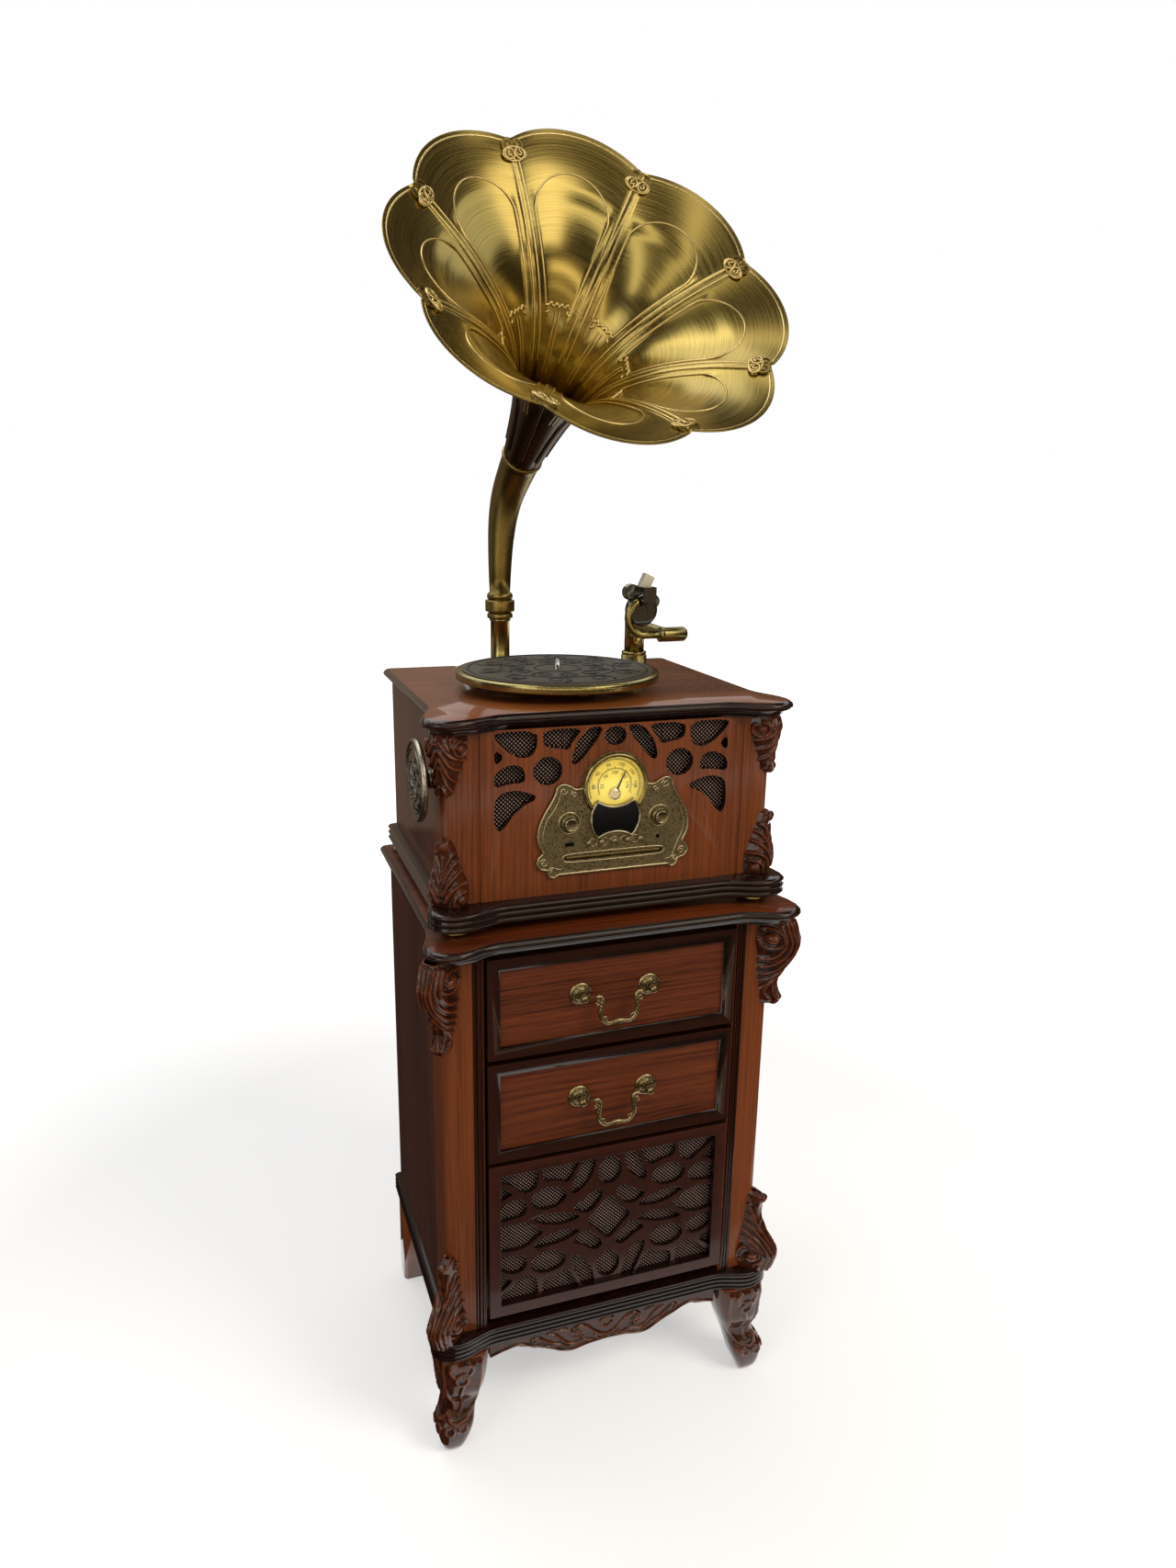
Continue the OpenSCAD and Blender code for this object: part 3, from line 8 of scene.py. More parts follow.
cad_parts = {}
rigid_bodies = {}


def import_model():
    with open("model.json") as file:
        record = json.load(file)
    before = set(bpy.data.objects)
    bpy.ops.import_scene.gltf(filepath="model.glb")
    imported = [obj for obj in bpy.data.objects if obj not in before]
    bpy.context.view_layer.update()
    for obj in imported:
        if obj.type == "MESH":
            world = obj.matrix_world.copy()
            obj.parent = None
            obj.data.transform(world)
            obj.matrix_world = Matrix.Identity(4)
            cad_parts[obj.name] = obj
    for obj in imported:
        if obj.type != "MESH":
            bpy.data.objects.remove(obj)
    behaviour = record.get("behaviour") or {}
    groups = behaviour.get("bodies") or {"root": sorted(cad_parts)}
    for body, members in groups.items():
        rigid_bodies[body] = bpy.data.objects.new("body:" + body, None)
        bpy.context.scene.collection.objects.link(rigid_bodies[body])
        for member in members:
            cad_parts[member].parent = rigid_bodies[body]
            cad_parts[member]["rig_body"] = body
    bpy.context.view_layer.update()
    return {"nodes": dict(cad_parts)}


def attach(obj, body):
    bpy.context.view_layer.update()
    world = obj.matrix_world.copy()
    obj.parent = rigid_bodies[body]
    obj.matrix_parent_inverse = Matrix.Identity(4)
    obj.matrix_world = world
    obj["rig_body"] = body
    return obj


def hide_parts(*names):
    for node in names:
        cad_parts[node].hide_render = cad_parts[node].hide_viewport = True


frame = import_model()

NODES = frame["nodes"]
MM = 0.001
CABINET_Y = 56


def place(x, y, z):
    """A point given from the cabinet's middle line, in millimetres, as a point of the row frame."""
    return Vector((x, y + CABINET_Y, z)) * MM


def in_scene(name, data):
    """A new object with this data, in the scene."""
    made = bpy.data.objects.new(name, data)
    bpy.context.scene.collection.objects.link(made)
    return made


# Camera, as fitted to the photograph: turned right, tipped down and rolled a little
CAMERA_AT = place(-529.53, -1552.79, 1417.91)
PHOTO_WIDTH, FOCAL_PIXELS, SENSOR_MM = 1280, 1182.95, 36
yaw, pitch, roll = 0.348638, 0.264221, 0.0164107
ahead = Vector((math.sin(yaw) * math.cos(pitch), math.cos(yaw) * math.cos(pitch), -math.sin(pitch)))
level = Vector((math.cos(yaw), -math.sin(yaw), 0))
upright = level.cross(ahead)
right = math.cos(roll) * level + math.sin(roll) * upright
up = math.cos(roll) * upright - math.sin(roll) * level
camera = in_scene("camera", bpy.data.cameras.new("camera"))
camera.matrix_world = Matrix.Translation(CAMERA_AT) @ Matrix((right, up, -ahead)).transposed().to_4x4()
camera.data.sensor_fit = "HORIZONTAL"
camera.data.sensor_width = SENSOR_MM
camera.data.lens = SENSOR_MM * FOCAL_PIXELS / PHOTO_WIDTH
bpy.context.scene.camera = camera
bpy.context.scene.view_settings.view_transform = "Standard"


# Materials
def colour(code):
    """A hex colour as linear red, green, blue and alpha."""
    parts = [int(code[i:i + 2], 16) / 255 for i in (1, 3, 5)]
    return [c / 12.92 if c <= 0.04045 else ((c + 0.055) / 1.055) ** 2.4 for c in parts] + [1]


def add(tree, kind, values=(), links=(), stops=(), **settings):
    """A shader node with its settings, socket values, links and, on a ramp, its colour stops."""
    node = tree.nodes.new("ShaderNode" + kind)
    for name, value in settings.items():
        setattr(node, name, value)
    for name, value in dict(values).items():
        node.inputs[name].default_value = value
    for name, socket in dict(links).items():
        tree.links.new(socket, node.inputs[name])
    for i, (at, code) in enumerate(stops):
        stop = node.color_ramp.elements[i] if i < 2 else node.color_ramp.elements.new(at)
        stop.position, stop.color = at, colour(code)
    return node


def begin(name, **sockets):
    """A new material with these values on its shader, and its node tree and shader."""
    material = bpy.data.materials.new(name)
    material.use_nodes = True
    shader = material.node_tree.nodes["Principled BSDF"]
    for key, value in sockets.items():
        shader.inputs[key.replace("_", " ")].default_value = value
    return material, material.node_tree, shader


def feed(tree, shader, **sockets):
    """Links these sockets to the shader's own inputs."""
    for name, socket in sockets.items():
        tree.links.new(socket, shader.inputs[name.replace("_", " ")])


def grain_scale(along, wide, long):
    """A pattern's scale on each axis, drawn out along the grain."""
    return [long if axis == along else wide for axis in "xyz"]


def veneer(name, along, light, middle, dark, lines=140.0, waver=0.1, coat=0.6, gloss=0.1):
    """Straight-grained veneer stained red brown under clear gloss lacquer.

    The eye sees growth lines, so many to the metre, that waver into arches, and fine dark pores."""
    material, tree, shader = begin(name, Roughness=0.5, Specular_IOR_Level=0.25, Coat_Weight=coat, Coat_Roughness=gloss,
                                   Coat_IOR=1.4)
    where = add(tree, "TexCoord").outputs["Object"]
    slow = add(tree, "Mapping", {"Scale": grain_scale(along, 2.6, 0.55)}, {"Vector": where})
    sway = add(tree, "TexNoise", {"Scale": 1.6, "Detail": 2.0, "Roughness": 0.4}, {"Vector": slow.outputs[0]})
    split = add(tree, "SeparateXYZ", {}, {0: where})
    across = [split.outputs[i] for i in range(3) if "xyz"[i] != along]
    side = add(tree, "Math", {}, {0: across[0], 1: across[1]}, operation="ADD")
    bent = add(tree, "Math", {1: waver}, {0: sway.outputs[0], 2: side.outputs[0]}, operation="MULTIPLY_ADD")
    phase = add(tree, "Math", {1: lines * 2 * math.pi}, {0: bent.outputs[0]}, operation="MULTIPLY")
    wave = add(tree, "Math", {}, {0: phase.outputs[0]}, operation="SINE")
    growth = add(tree, "MapRange", {"From Min": -1.0, "From Max": 1.0, "To Min": 0.0, "To Max": 0.16},
                 {"Value": wave.outputs[0]})
    drawn_out = add(tree, "Mapping", {"Scale": grain_scale(along, 170.0, 2.4)}, {"Vector": where})
    streaks = add(tree, "TexNoise", {"Scale": 1.0, "Detail": 3.0, "Roughness": 0.6}, {"Vector": drawn_out.outputs[0]})
    figure = add(tree, "Math", {1: 1.3}, {0: streaks.outputs[0], 2: growth.outputs[0]}, operation="MULTIPLY_ADD")
    fine = add(tree, "Mapping", {"Scale": grain_scale(along, 1100.0, 22.0)}, {"Vector": where})
    pores = add(tree, "TexNoise", {"Scale": 1.0, "Detail": 2.5, "Roughness": 0.65}, {"Vector": fine.outputs[0]})
    speck = add(tree, "MapRange", {"From Min": 0.32, "From Max": 0.7, "To Min": -0.18, "To Max": 0.28},
                {"Value": pores.outputs[0]})
    patch = add(tree, "TexNoise", {"Scale": 2.2, "Detail": 1.0}, {"Vector": slow.outputs[0]})
    drift = add(tree, "MapRange", {"From Min": 0.3, "From Max": 0.7, "To Min": -0.55, "To Max": -0.2},
                {"Value": patch.outputs[0]})
    tone = add(tree, "Math", {}, {0: figure.outputs[0], 1: speck.outputs[0]}, operation="ADD")
    total = add(tree, "Math", {}, {0: tone.outputs[0], 1: drift.outputs[0]}, operation="ADD")
    ramp = add(tree, "ValToRGB", {}, {0: total.outputs[0]}, [(0.0, dark), (0.85, light), (0.3, middle)])
    bump = add(tree, "Bump", {"Strength": 0.3, "Distance": 0.0002}, {"Height": speck.outputs[0]})
    feed(tree, shader, Base_Color=ramp.outputs[0], Normal=bump.outputs[0])
    return material


def lacquer(name, base, worn, roughness=0.3, coat=0.8):
    """Wood stained nearly black under gloss lacquer, rubbed a little browner in streaks and on its high spots."""
    material, tree, shader = begin(name, Roughness=roughness, Specular_IOR_Level=0.2, Coat_Weight=coat,
                                   Coat_Roughness=0.08, Coat_IOR=1.4)
    where = add(tree, "TexCoord").outputs["Object"]
    high = add(tree, "NewGeometry").outputs["Pointiness"]
    edge = add(tree, "MapRange", {"From Min": 0.49, "From Max": 0.6}, {"Value": high})
    patch = add(tree, "TexNoise", {"Scale": 60.0, "Detail": 4.0, "Roughness": 0.6}, {"Vector": where})
    streak = add(tree, "MapRange", {"From Min": 0.35, "From Max": 0.75, "To Min": -0.1, "To Max": 0.35},
                 {"Value": patch.outputs[0]})
    amount = add(tree, "Math", {}, {0: edge.outputs[0], 1: streak.outputs[0]}, operation="ADD")
    ramp = add(tree, "ValToRGB", {}, {0: amount.outputs[0]}, [(0.0, base), (1.0, worn)])
    bump = add(tree, "Bump", {"Strength": 0.15, "Distance": 0.0003}, {"Height": patch.outputs[0]})
    feed(tree, shader, Base_Color=ramp.outputs[0], Normal=bump.outputs[0])
    return material


def cast_metal(name, low, high, roughness, grit, grit_mm=0.6, relief=0.0004):
    """Cast or plated metal with a dark stain: dark in its low spots, bright where hands have rubbed its edges."""
    material, tree, shader = begin(name, Metallic=1.0, Roughness=roughness)
    where = add(tree, "TexCoord").outputs["Object"]
    high_spots = add(tree, "NewGeometry").outputs["Pointiness"]
    edge = add(tree, "MapRange", {"From Min": 0.43, "From Max": 0.57}, {"Value": high_spots})
    grain = add(tree, "TexNoise", {"Scale": 1.0 / (grit_mm * 2 * MM), "Detail": 3.0, "Roughness": 0.7},
                {"Vector": where})
    stain = add(tree, "MapRange", {"From Min": 0.35, "From Max": 0.65, "To Min": -grit, "To Max": grit},
                {"Value": grain.outputs[0]})
    amount = add(tree, "Math", {}, {0: edge.outputs[0], 1: stain.outputs[0]}, operation="ADD")
    ramp = add(tree, "ValToRGB", {}, {0: amount.outputs[0]}, [(0.0, low), (1.0, high)])
    rough = add(tree, "MapRange", {"From Min": 0.3, "From Max": 0.7, "To Min": roughness * 0.8,
                                   "To Max": roughness * 1.3}, {"Value": grain.outputs[0]})
    bump = add(tree, "Bump", {"Strength": 0.5, "Distance": relief}, {"Height": grain.outputs[0]})
    feed(tree, shader, Base_Color=ramp.outputs[0], Roughness=rough.outputs[0], Normal=bump.outputs[0])
    return material


def brushed_sheet(name, light, dark, roughness):
    """Thin brass sheet brushed round the bell: fine lines, and highlights that spread across them."""
    material, tree, shader = begin(name, Metallic=1.0, Roughness=roughness, Anisotropic=0.6, Anisotropic_Rotation=0.25)
    uv = add(tree, "UVMap", uv_map="brushing").outputs[0]
    stretch = add(tree, "Mapping", {"Scale": (420.0, 9.0, 1.0)}, {"Vector": uv})
    lines = add(tree, "TexNoise", {"Scale": 1.0, "Detail": 2.0, "Roughness": 0.7}, {"Vector": stretch.outputs[0]})
    where = add(tree, "TexCoord").outputs["Object"]
    cloudy = add(tree, "TexNoise", {"Scale": 9.0, "Detail": 3.0}, {"Vector": where})
    both = add(tree, "Math", {1: 0.45}, {0: cloudy.outputs[0], 2: lines.outputs[0]}, operation="MULTIPLY_ADD")
    ramp = add(tree, "ValToRGB", {}, {0: both.outputs[0]}, [(0.45, dark), (1.0, light)])
    along = add(tree, "Tangent", direction_type="UV_MAP", uv_map="brushing")
    gloss = add(tree, "MapRange", {"From Min": 0.35, "From Max": 0.65, "To Min": roughness * 0.85,
                                   "To Max": roughness * 1.2}, {"Value": lines.outputs[0]})
    bump = add(tree, "Bump", {"Strength": 0.2, "Distance": 0.00002}, {"Height": lines.outputs[0]})
    feed(tree, shader, Base_Color=ramp.outputs[0], Tangent=along.outputs[0], Roughness=gloss.outputs[0],
         Normal=bump.outputs[0])
    return material


def plain(name, base, other, roughness, scale=60.0, metallic=0.0, dented=True, **sockets):
    """An even factory finish with a slight mottle in its colour, and faint dents where it is moulded or painted."""
    material, tree, shader = begin(name, Roughness=roughness, Metallic=metallic, **sockets)
    where = add(tree, "TexCoord").outputs["Object"]
    mottle = add(tree, "TexNoise", {"Scale": scale, "Detail": 3.0}, {"Vector": where})
    ramp = add(tree, "ValToRGB", {}, {0: mottle.outputs[0]}, [(0.3, base), (0.7, other)])
    feed(tree, shader, Base_Color=ramp.outputs[0])
    if dented:
        bump = add(tree, "Bump", {"Strength": 0.2, "Distance": 0.0001}, {"Height": mottle.outputs[0]})
        feed(tree, shader, Normal=bump.outputs[0])
    return material


# Stained mahogany veneer under gloss lacquer, with its grain in the direction each board is cut
wood_up = veneer("mahogany_veneer_upright", "z", "#8a4316", "#74370f", "#5a290b")
wood_across = veneer("mahogany_veneer_across", "x", "#7f3a13", "#5f280d", "#391305", 120.0, 0.2)
# The sides' copy of the upright veneer is darker and greyer than the front: painted shade for sides that face away from
# the light
wood_side_painted_shade = veneer("mahogany_veneer_side_painted_shade", "z", "#6e3c27", "#54291a", "#351710")
wood_top = veneer("mahogany_veneer_deck", "x", "#9c5a28", "#7d431b", "#572a0f", 140.0, 0.08, 0.8, 0.08)
# Mouldings and carving in the same wood, stained nearly black
dark_lacquer = lacquer("black_brown_lacquer", "#0f0605", "#2f150d", 0.22, 1.0)
carved_lacquer = lacquer("carved_red_brown_lacquer", "#2c1108", "#84401f", 0.22, 1.0)
frame_lacquer = lacquer("dark_red_brown_lacquer", "#2b1009", "#542413", 0.42, 0.3)
maroon_lacquer = lacquer("maroon_lacquer", "#2b110b", "#4a2014", 0.35, 0.6)
inside_wood = veneer("plain_softwood_inside", "x", "#b58a58", "#a0703f", "#84572f", 60.0, 0.1, 0.0)
# Brass and bronze: cast pieces dark in their hollows and bright on their edges, turned pieces an even satin
antique_brass = cast_metal("antique_brass", "#1c160d", "#c9b88c", 0.22, 0.25)
dark_bronze = cast_metal("dark_antique_bronze", "#241c10", "#85744a", 0.34, 0.15)
pebbled_bronze = cast_metal("pebbled_bronze_plate", "#1a160e", "#9a8f6e", 0.38, 1.0, 1.0, 0.0022)
rim_bronze = cast_metal("rubbed_bronze_edges", "#4e452c", "#d4c7a2", 0.24, 0.12)
turned_brass = plain("turned_antique_brass", "#a3955a", "#bbae78", 0.24, 150.0, 1.0, False)
arm_brass = plain("satin_arm_brass", "#958750", "#ab9d66", 0.26, 150.0, 1.0, False)
bright_bezel = plain("bright_window_bezel", "#b9af92", "#d8d0b6", 0.2, 200.0, 1.0, False)
silvered_bronze = cast_metal("dark_silvered_relief", "#0d0c0a", "#c9c2b0", 0.24, 0.1)
elbow_brass = cast_metal("brushed_olive_brass", "#5c4c22", "#a48d52", 0.3, 0.1)
gold_sheet = brushed_sheet("brushed_brass_sheet", "#bfaa63", "#8f7d42", 0.2)
brown_sheet = brushed_sheet("brown_bronzed_sheet", "#6b5436", "#3d2f1f", 0.33)
brown_wire = cast_metal("brown_bronzed_ribs", "#3a2c1e", "#5f4a33", 0.36, 0.08)
gold_wire = cast_metal("polished_brass_wire", "#6a5528", "#eed794", 0.2, 0.06)
steel = plain("polished_steel", "#c4c4c2", "#dededc", 0.16, 200.0, 1.0, False)
# Moulded ABS, enamel, rubber and print: even colours, shiny only on the enamel and the acrylic
black_plastic = plain("black_abs", "#0b0b0c", "#151516", 0.35)
ivory_plastic = plain("ivory_abs", "#cfc6ac", "#ded7c0", 0.35)
black_glass = plain("smoked_acrylic_window", "#040405", "#060607", 0.12, 20.0, Specular_IOR_Level=0.3)
black_enamel = plain("black_enamel", "#0d0807", "#1d130f", 0.14, 80.0, Coat_Weight=1.0)
board_black = plain("black_solder_mask", "#0b0d0b", "#121613", 0.35)
grey_case = plain("zinc_plated_case", "#8f9092", "#a9aaac", 0.35, 90.0, 0.9)
cone_paper = plain("coated_cone_paper", "#121213", "#1f1f21", 0.75, 300.0)
belt_rubber = plain("belt_rubber", "#101010", "#181818", 0.6)
mat_rubber = plain("printed_brown_mat", "#443c29", "#4f4631", 0.5, 120.0)
mat_print = plain("mat_pattern_print", "#120d08", "#1c150d", 0.4, 120.0)
dial_ink = plain("dial_ink", "#1d150a", "#2a1f10", 0.6)


THREAD_MM = 4.2
GLOW_MIDDLE, GLOW_RADIUS = place(0, 0, 1022), 0.045


def woven_cloth():
    """Loudspeaker cloth of pale thread woven on the bias, with dark gaps, as coarse as it needs to be to show."""
    material, tree, shader = begin("woven_speaker_cloth", Roughness=0.8, Specular_IOR_Level=0.05)
    where = add(tree, "SeparateXYZ", {}, {0: add(tree, "TexCoord").outputs["Object"]})
    waves = []
    for way in ("ADD", "SUBTRACT"):
        lane = add(tree, "Math", {}, {0: where.outputs["X"], 1: where.outputs["Z"]}, operation=way)
        steps = add(tree, "Math", {1: 2 * math.pi / (THREAD_MM * MM * math.sqrt(2))}, {0: lane.outputs[0]},
                    operation="MULTIPLY")
        waves.append(add(tree, "Math", {}, {0: steps.outputs[0]}, operation="SINE").outputs[0])
    over = add(tree, "Math", {}, {0: waves[0], 1: waves[1]}, operation="MAXIMUM")
    under = add(tree, "Math", {}, {0: waves[0], 1: waves[1]}, operation="MINIMUM")
    net = add(tree, "Math", {1: 0.4}, {0: over.outputs[0], 2: under.outputs[0]}, operation="MULTIPLY_ADD")
    ramp = add(tree, "ValToRGB", {}, {0: net.outputs[0]}, [(0.05, "#180b08"), (0.85, "#b39a8d")])
    bump = add(tree, "Bump", {"Strength": 0.8, "Distance": 0.0006}, {"Height": net.outputs[0]})
    feed(tree, shader, Base_Color=ramp.outputs[0], Normal=bump.outputs[0])
    return material


def lit_dial():
    """Printed yellow dial with a lamp behind it: brighter towards its middle."""
    material, tree, shader = begin("printed_lit_dial", Roughness=0.45, Emission_Strength=0.25)
    where = add(tree, "Mapping", {"Location": -GLOW_MIDDLE}, {"Vector": add(tree, "TexCoord").outputs["Object"]})
    flat = add(tree, "VectorMath", {1: (1, 0, 1)}, {0: where.outputs[0]}, operation="MULTIPLY")
    away = add(tree, "VectorMath", {}, {0: flat.outputs[0]}, operation="LENGTH")
    share = add(tree, "Math", {1: 1 / GLOW_RADIUS}, {0: away.outputs["Value"]}, operation="MULTIPLY")
    ramp = add(tree, "ValToRGB", {}, {0: share.outputs[0]}, [(0.2, "#efe063"), (1.0, "#c8b02e")])
    feed(tree, shader, Base_Color=ramp.outputs[0], Emission_Color=ramp.outputs[0])
    return material


cloth = woven_cloth()
dial_yellow = lit_dial()
clear_glass = begin("clear_dial_glass", Roughness=0.02, Transmission_Weight=1.0, IOR=1.3,
                    Base_Color=colour("#fffaf0"))[0]


# Making pieces
def keep(bm, name, materials, body, stands_for=(), smooth_angle=35.0):
    """Turns a bmesh into a piece that rides on a body, with its edges sharp beyond an angle."""
    mesh = bpy.data.meshes.new(name)
    bm.to_mesh(mesh)
    bm.free()
    mesh.shade_smooth()
    mesh.set_sharp_from_angle(angle=math.radians(smooth_angle))
    for material in materials if isinstance(materials, (list, tuple)) else [materials]:
        mesh.materials.append(material)
    piece = in_scene(name, mesh)
    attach(piece, body)
    if stands_for:
        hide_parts(*([stands_for] if isinstance(stands_for, str) else stands_for))
    return piece


def thicken(piece, wall_mm, offset=-1):
    """Gives a sheet its wall, behind its face unless the offset is 1."""
    wall = piece.modifiers.new("wall", "SOLIDIFY")
    wall.thickness = wall_mm * MM
    wall.offset = offset
    return wall


def refine(node, materials, pick=None, bevel=0.0, smooth_angle=35.0):
    """Stands for a CAD node with the same shape, its faces joined and smoothed and its edges eased."""
    cad = NODES[node]
    bm = bmesh.new()
    bm.from_mesh(cad.data)
    bmesh.ops.remove_doubles(bm, verts=bm.verts, dist=0.00002)
    if bevel:
        smooth_angle = min(smooth_angle, 20.0)
        bmesh.ops.dissolve_limit(bm, angle_limit=math.radians(1), verts=bm.verts, edges=bm.edges)
        edges = [e for e in bm.edges if len(e.link_faces) == 2 and e.calc_face_angle(0) > math.radians(40)]
        bmesh.ops.bevel(bm, geom=edges, offset=bevel * MM, offset_type="OFFSET", segments=2, profile=0.5,
                        affect="EDGES", clamp_overlap=True, material=-1)
    if pick:
        for face in bm.faces:
            face.material_index = pick(face)
    return keep(bm, node + "_finished", materials, cad["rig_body"], node, smooth_angle)


def paint(node, material):
    """Gives a CAD node that stays as it is its material."""
    data = NODES[node].data
    data.materials.clear()
    data.materials.append(material)


def curve_through(points, steps=6):
    """A smooth line through points in a plane or in space, with so many steps from one to the next."""
    p = np.array(points, float)
    ends = np.vstack([2 * p[0] - p[1], p, 2 * p[-1] - p[-2]])
    t = np.linspace(0, 1, steps, endpoint=False)[:, None]
    parts = []
    for a, b, c, d in zip(ends, ends[1:], ends[2:], ends[3:]):
        parts.append(0.5 * (2 * b + (c - a) * t + (2 * a - 5 * b + 4 * c - d) * t ** 2
                            + (3 * b - a - 3 * c + d) * t ** 3))
    return np.vstack(parts + [p[-1:]])


def raised(where, ribs, balls=()):
    """Heights in mm at design points: sharp-crested ribs, each a width, a height and a line, and round balls."""
    high = np.zeros(len(where))
    for width, height, line in ribs:
        path = curve_through(line)
        near = np.full(len(where), 1e9)
        for a, b in zip(path, path[1:]):
            step = b - a
            t = np.clip(((where - a) @ step) / max(step @ step, 1e-9), 0, 1)
            near = np.minimum(near, np.linalg.norm(where - a - t[:, None] * step, axis=1))
        high = np.maximum(high, height * np.clip(1 - near / width, 0, 1) ** 1.3)
    for x, z, radius, height in balls:
        away = np.hypot(where[:, 0] - x, where[:, 1] - z) / radius
        high = np.where(away < 1, np.maximum(high, height * np.sqrt(np.clip(1 - away ** 2, 0, 1))), high)
    return high


def ring_round(x, z, radius, start=0, end=330, shrink=1.0):
    """A circle or spiral as points of a rib, with its angles in degrees."""
    turns = [math.radians(start + (end - start) * i / 11) for i in range(12)]
    return [(x + radius * shrink ** (i / 11) * math.cos(a), z + radius * shrink ** (i / 11) * math.sin(a))
            for i, a in enumerate(turns)]


def relief(bm, shape, columns, rows, design, sink=0.0):
    """Adds a fine grid laid on a shape, pushed out along its normal by the design's height in mm."""
    verts = bmesh.ops.create_grid(bm, x_segments=columns, y_segments=rows, size=1)["verts"]
    uv = np.array([v.co[:2] for v in verts])
    spot, drawn = shape(uv)
    nudge = 1e-3
    du = shape(uv + [nudge, 0])[0] - shape(uv - [nudge, 0])[0]
    dv = shape(uv + [0, nudge])[0] - shape(uv - [0, nudge])[0]
    normal = np.cross(du, dv)
    normal /= np.maximum(np.linalg.norm(normal, axis=1), 1e-9)[:, None]
    moved = spot + normal * (design(drawn) - sink)[:, None]
    for vert, point in zip(verts, moved):
        vert.co = place(*point)
    return verts


def mesh_of(name, curve):
    """The mesh that a curve or a text makes."""
    holder = in_scene(name, curve)
    bpy.context.view_layer.update()
    mesh = bpy.data.meshes.new_from_object(holder.evaluated_get(bpy.context.evaluated_depsgraph_get()))
    bpy.data.objects.remove(holder)
    return mesh


def tube(name, lines, material, body):
    """Round bars, each a line of points with radii in mm, as one piece."""
    curve = bpy.data.curves.new(name, "CURVE")
    curve.dimensions = "3D"
    curve.bevel_depth = 1.0
    curve.bevel_resolution = 2
    curve.use_fill_caps = True
    for points, closed in lines:
        spline = curve.splines.new("POLY")
        spline.points.add(len(points) - 1)
        spline.use_cyclic_u = closed
        for target, (point, radius) in zip(spline.points, points):
            target.co = (*point, 1)
            target.radius = radius * MM
    bm = bmesh.new()
    bm.from_mesh(mesh_of(name, curve))
    bmesh.ops.remove_doubles(bm, verts=bm.verts, dist=0.00001)
    keep(bm, name, material, body, smooth_angle=60)


# Boards: veneer on the flat, black lacquer round the moulded edge
def level_or_edge(face):
    return 0 if abs(face.normal.z) > 0.95 else 1


def face_or_wall(face):
    return 0 if abs(face.normal.y) > 0.9 else 1


refine("deck_board", [wood_top, dark_lacquer], level_or_edge)
refine("cabinet_top", [wood_across, dark_lacquer], level_or_edge)
refine("base_moulding", dark_lacquer, smooth_angle=50)
refine("box_base", dark_lacquer, smooth_angle=50)
for node in ("front_stiles", "box_posts", "cabinet_back", "box_back"):
    refine(node, wood_up, bevel=0.6)
refine("front_panel", [wood_up, dark_lacquer], face_or_wall, bevel=0.8)
# The sides take the darker copy of the veneer, a painted shade
for node in ("cabinet_sides", "box_sides"):
    refine(node, wood_side_painted_shade, bevel=0.6)
refine("inner_framing", dark_lacquer)
refine("grille_panel", [maroon_lacquer, dark_lacquer], face_or_wall, bevel=0.9)
paint("speaker_cloth", cloth)
for node in ("woofer", "box_speakers"):
    refine(node, cone_paper)
for node in ("box_feet", "dial_bezel", "horn_post", "platter"):
    refine(node, turned_brass, smooth_angle=50)
refine("horn_elbow", elbow_brass, smooth_angle=50)
for node in ("tonearm_base", "tonearm_swivel", "tonearm_tube", "gooseneck"):
    refine(node, arm_brass, smooth_angle=45)
for node in ["tuning_knob", "volume_knob"] + [f"button_{i}" for i in range(1, 6)]:
    refine(node, rim_bronze)
refine("control_plate", [pebbled_bronze, rim_bronze], lambda face: 0 if face.normal.y < -0.9 else 1, smooth_angle=20)
CAP_HIGH = 0.0195
cap_z = max(v.co.z for v in NODES["sound_box"].data.vertices) - CAP_HIGH
refine("sound_box", [black_enamel, ivory_plastic], lambda face: 1 if face.calc_center_median().z > cap_z else 0,
       bevel=0.6)
refine("dial_pointer", black_enamel)
paint("dial_face", dial_yellow)
paint("dial_glass", clear_glass)
paint("display_window", black_glass)
paint("control_board", board_black)
for node in ("disc_drive", "turntable_motor"):
    paint(node, grey_case)
paint("power_supply", black_plastic)
for node in ("platter_bearing", "spindle", "motor_pulley"):
    refine(node, steel)
paint("drive_belt", belt_rubber)


def reeds():
    """Reeded strips that close the front posts against the drawers."""
    lines = [([(place(side * x, -221.4, z), 2.1) for z in (200, 811)], False)
             for side in (-1, 1) for x in (197, 202, 207)]
    tube("post_reeds", lines, dark_lacquer, "cabinet")


reeds()

# Moulding round a drawer front or the grille: each step's width and rise in mm, from the outside in
FRAME_STEPS = [(0.8, 1.3), (2.7, 0.0), (0.8, -1.0), (2.5, -0.3), (0.6, 1.2), (1.2, 0.9), (1.6, 0.1),
               (1.2, -0.9), (2.6, -2.0), (0.5, 0.5), (1.0, 0.3), (1.0, -0.9), (1.5, -4.0)]
FRAME_HALF_WIDTH, FRAME_FRONT_Y = 190, -228.0


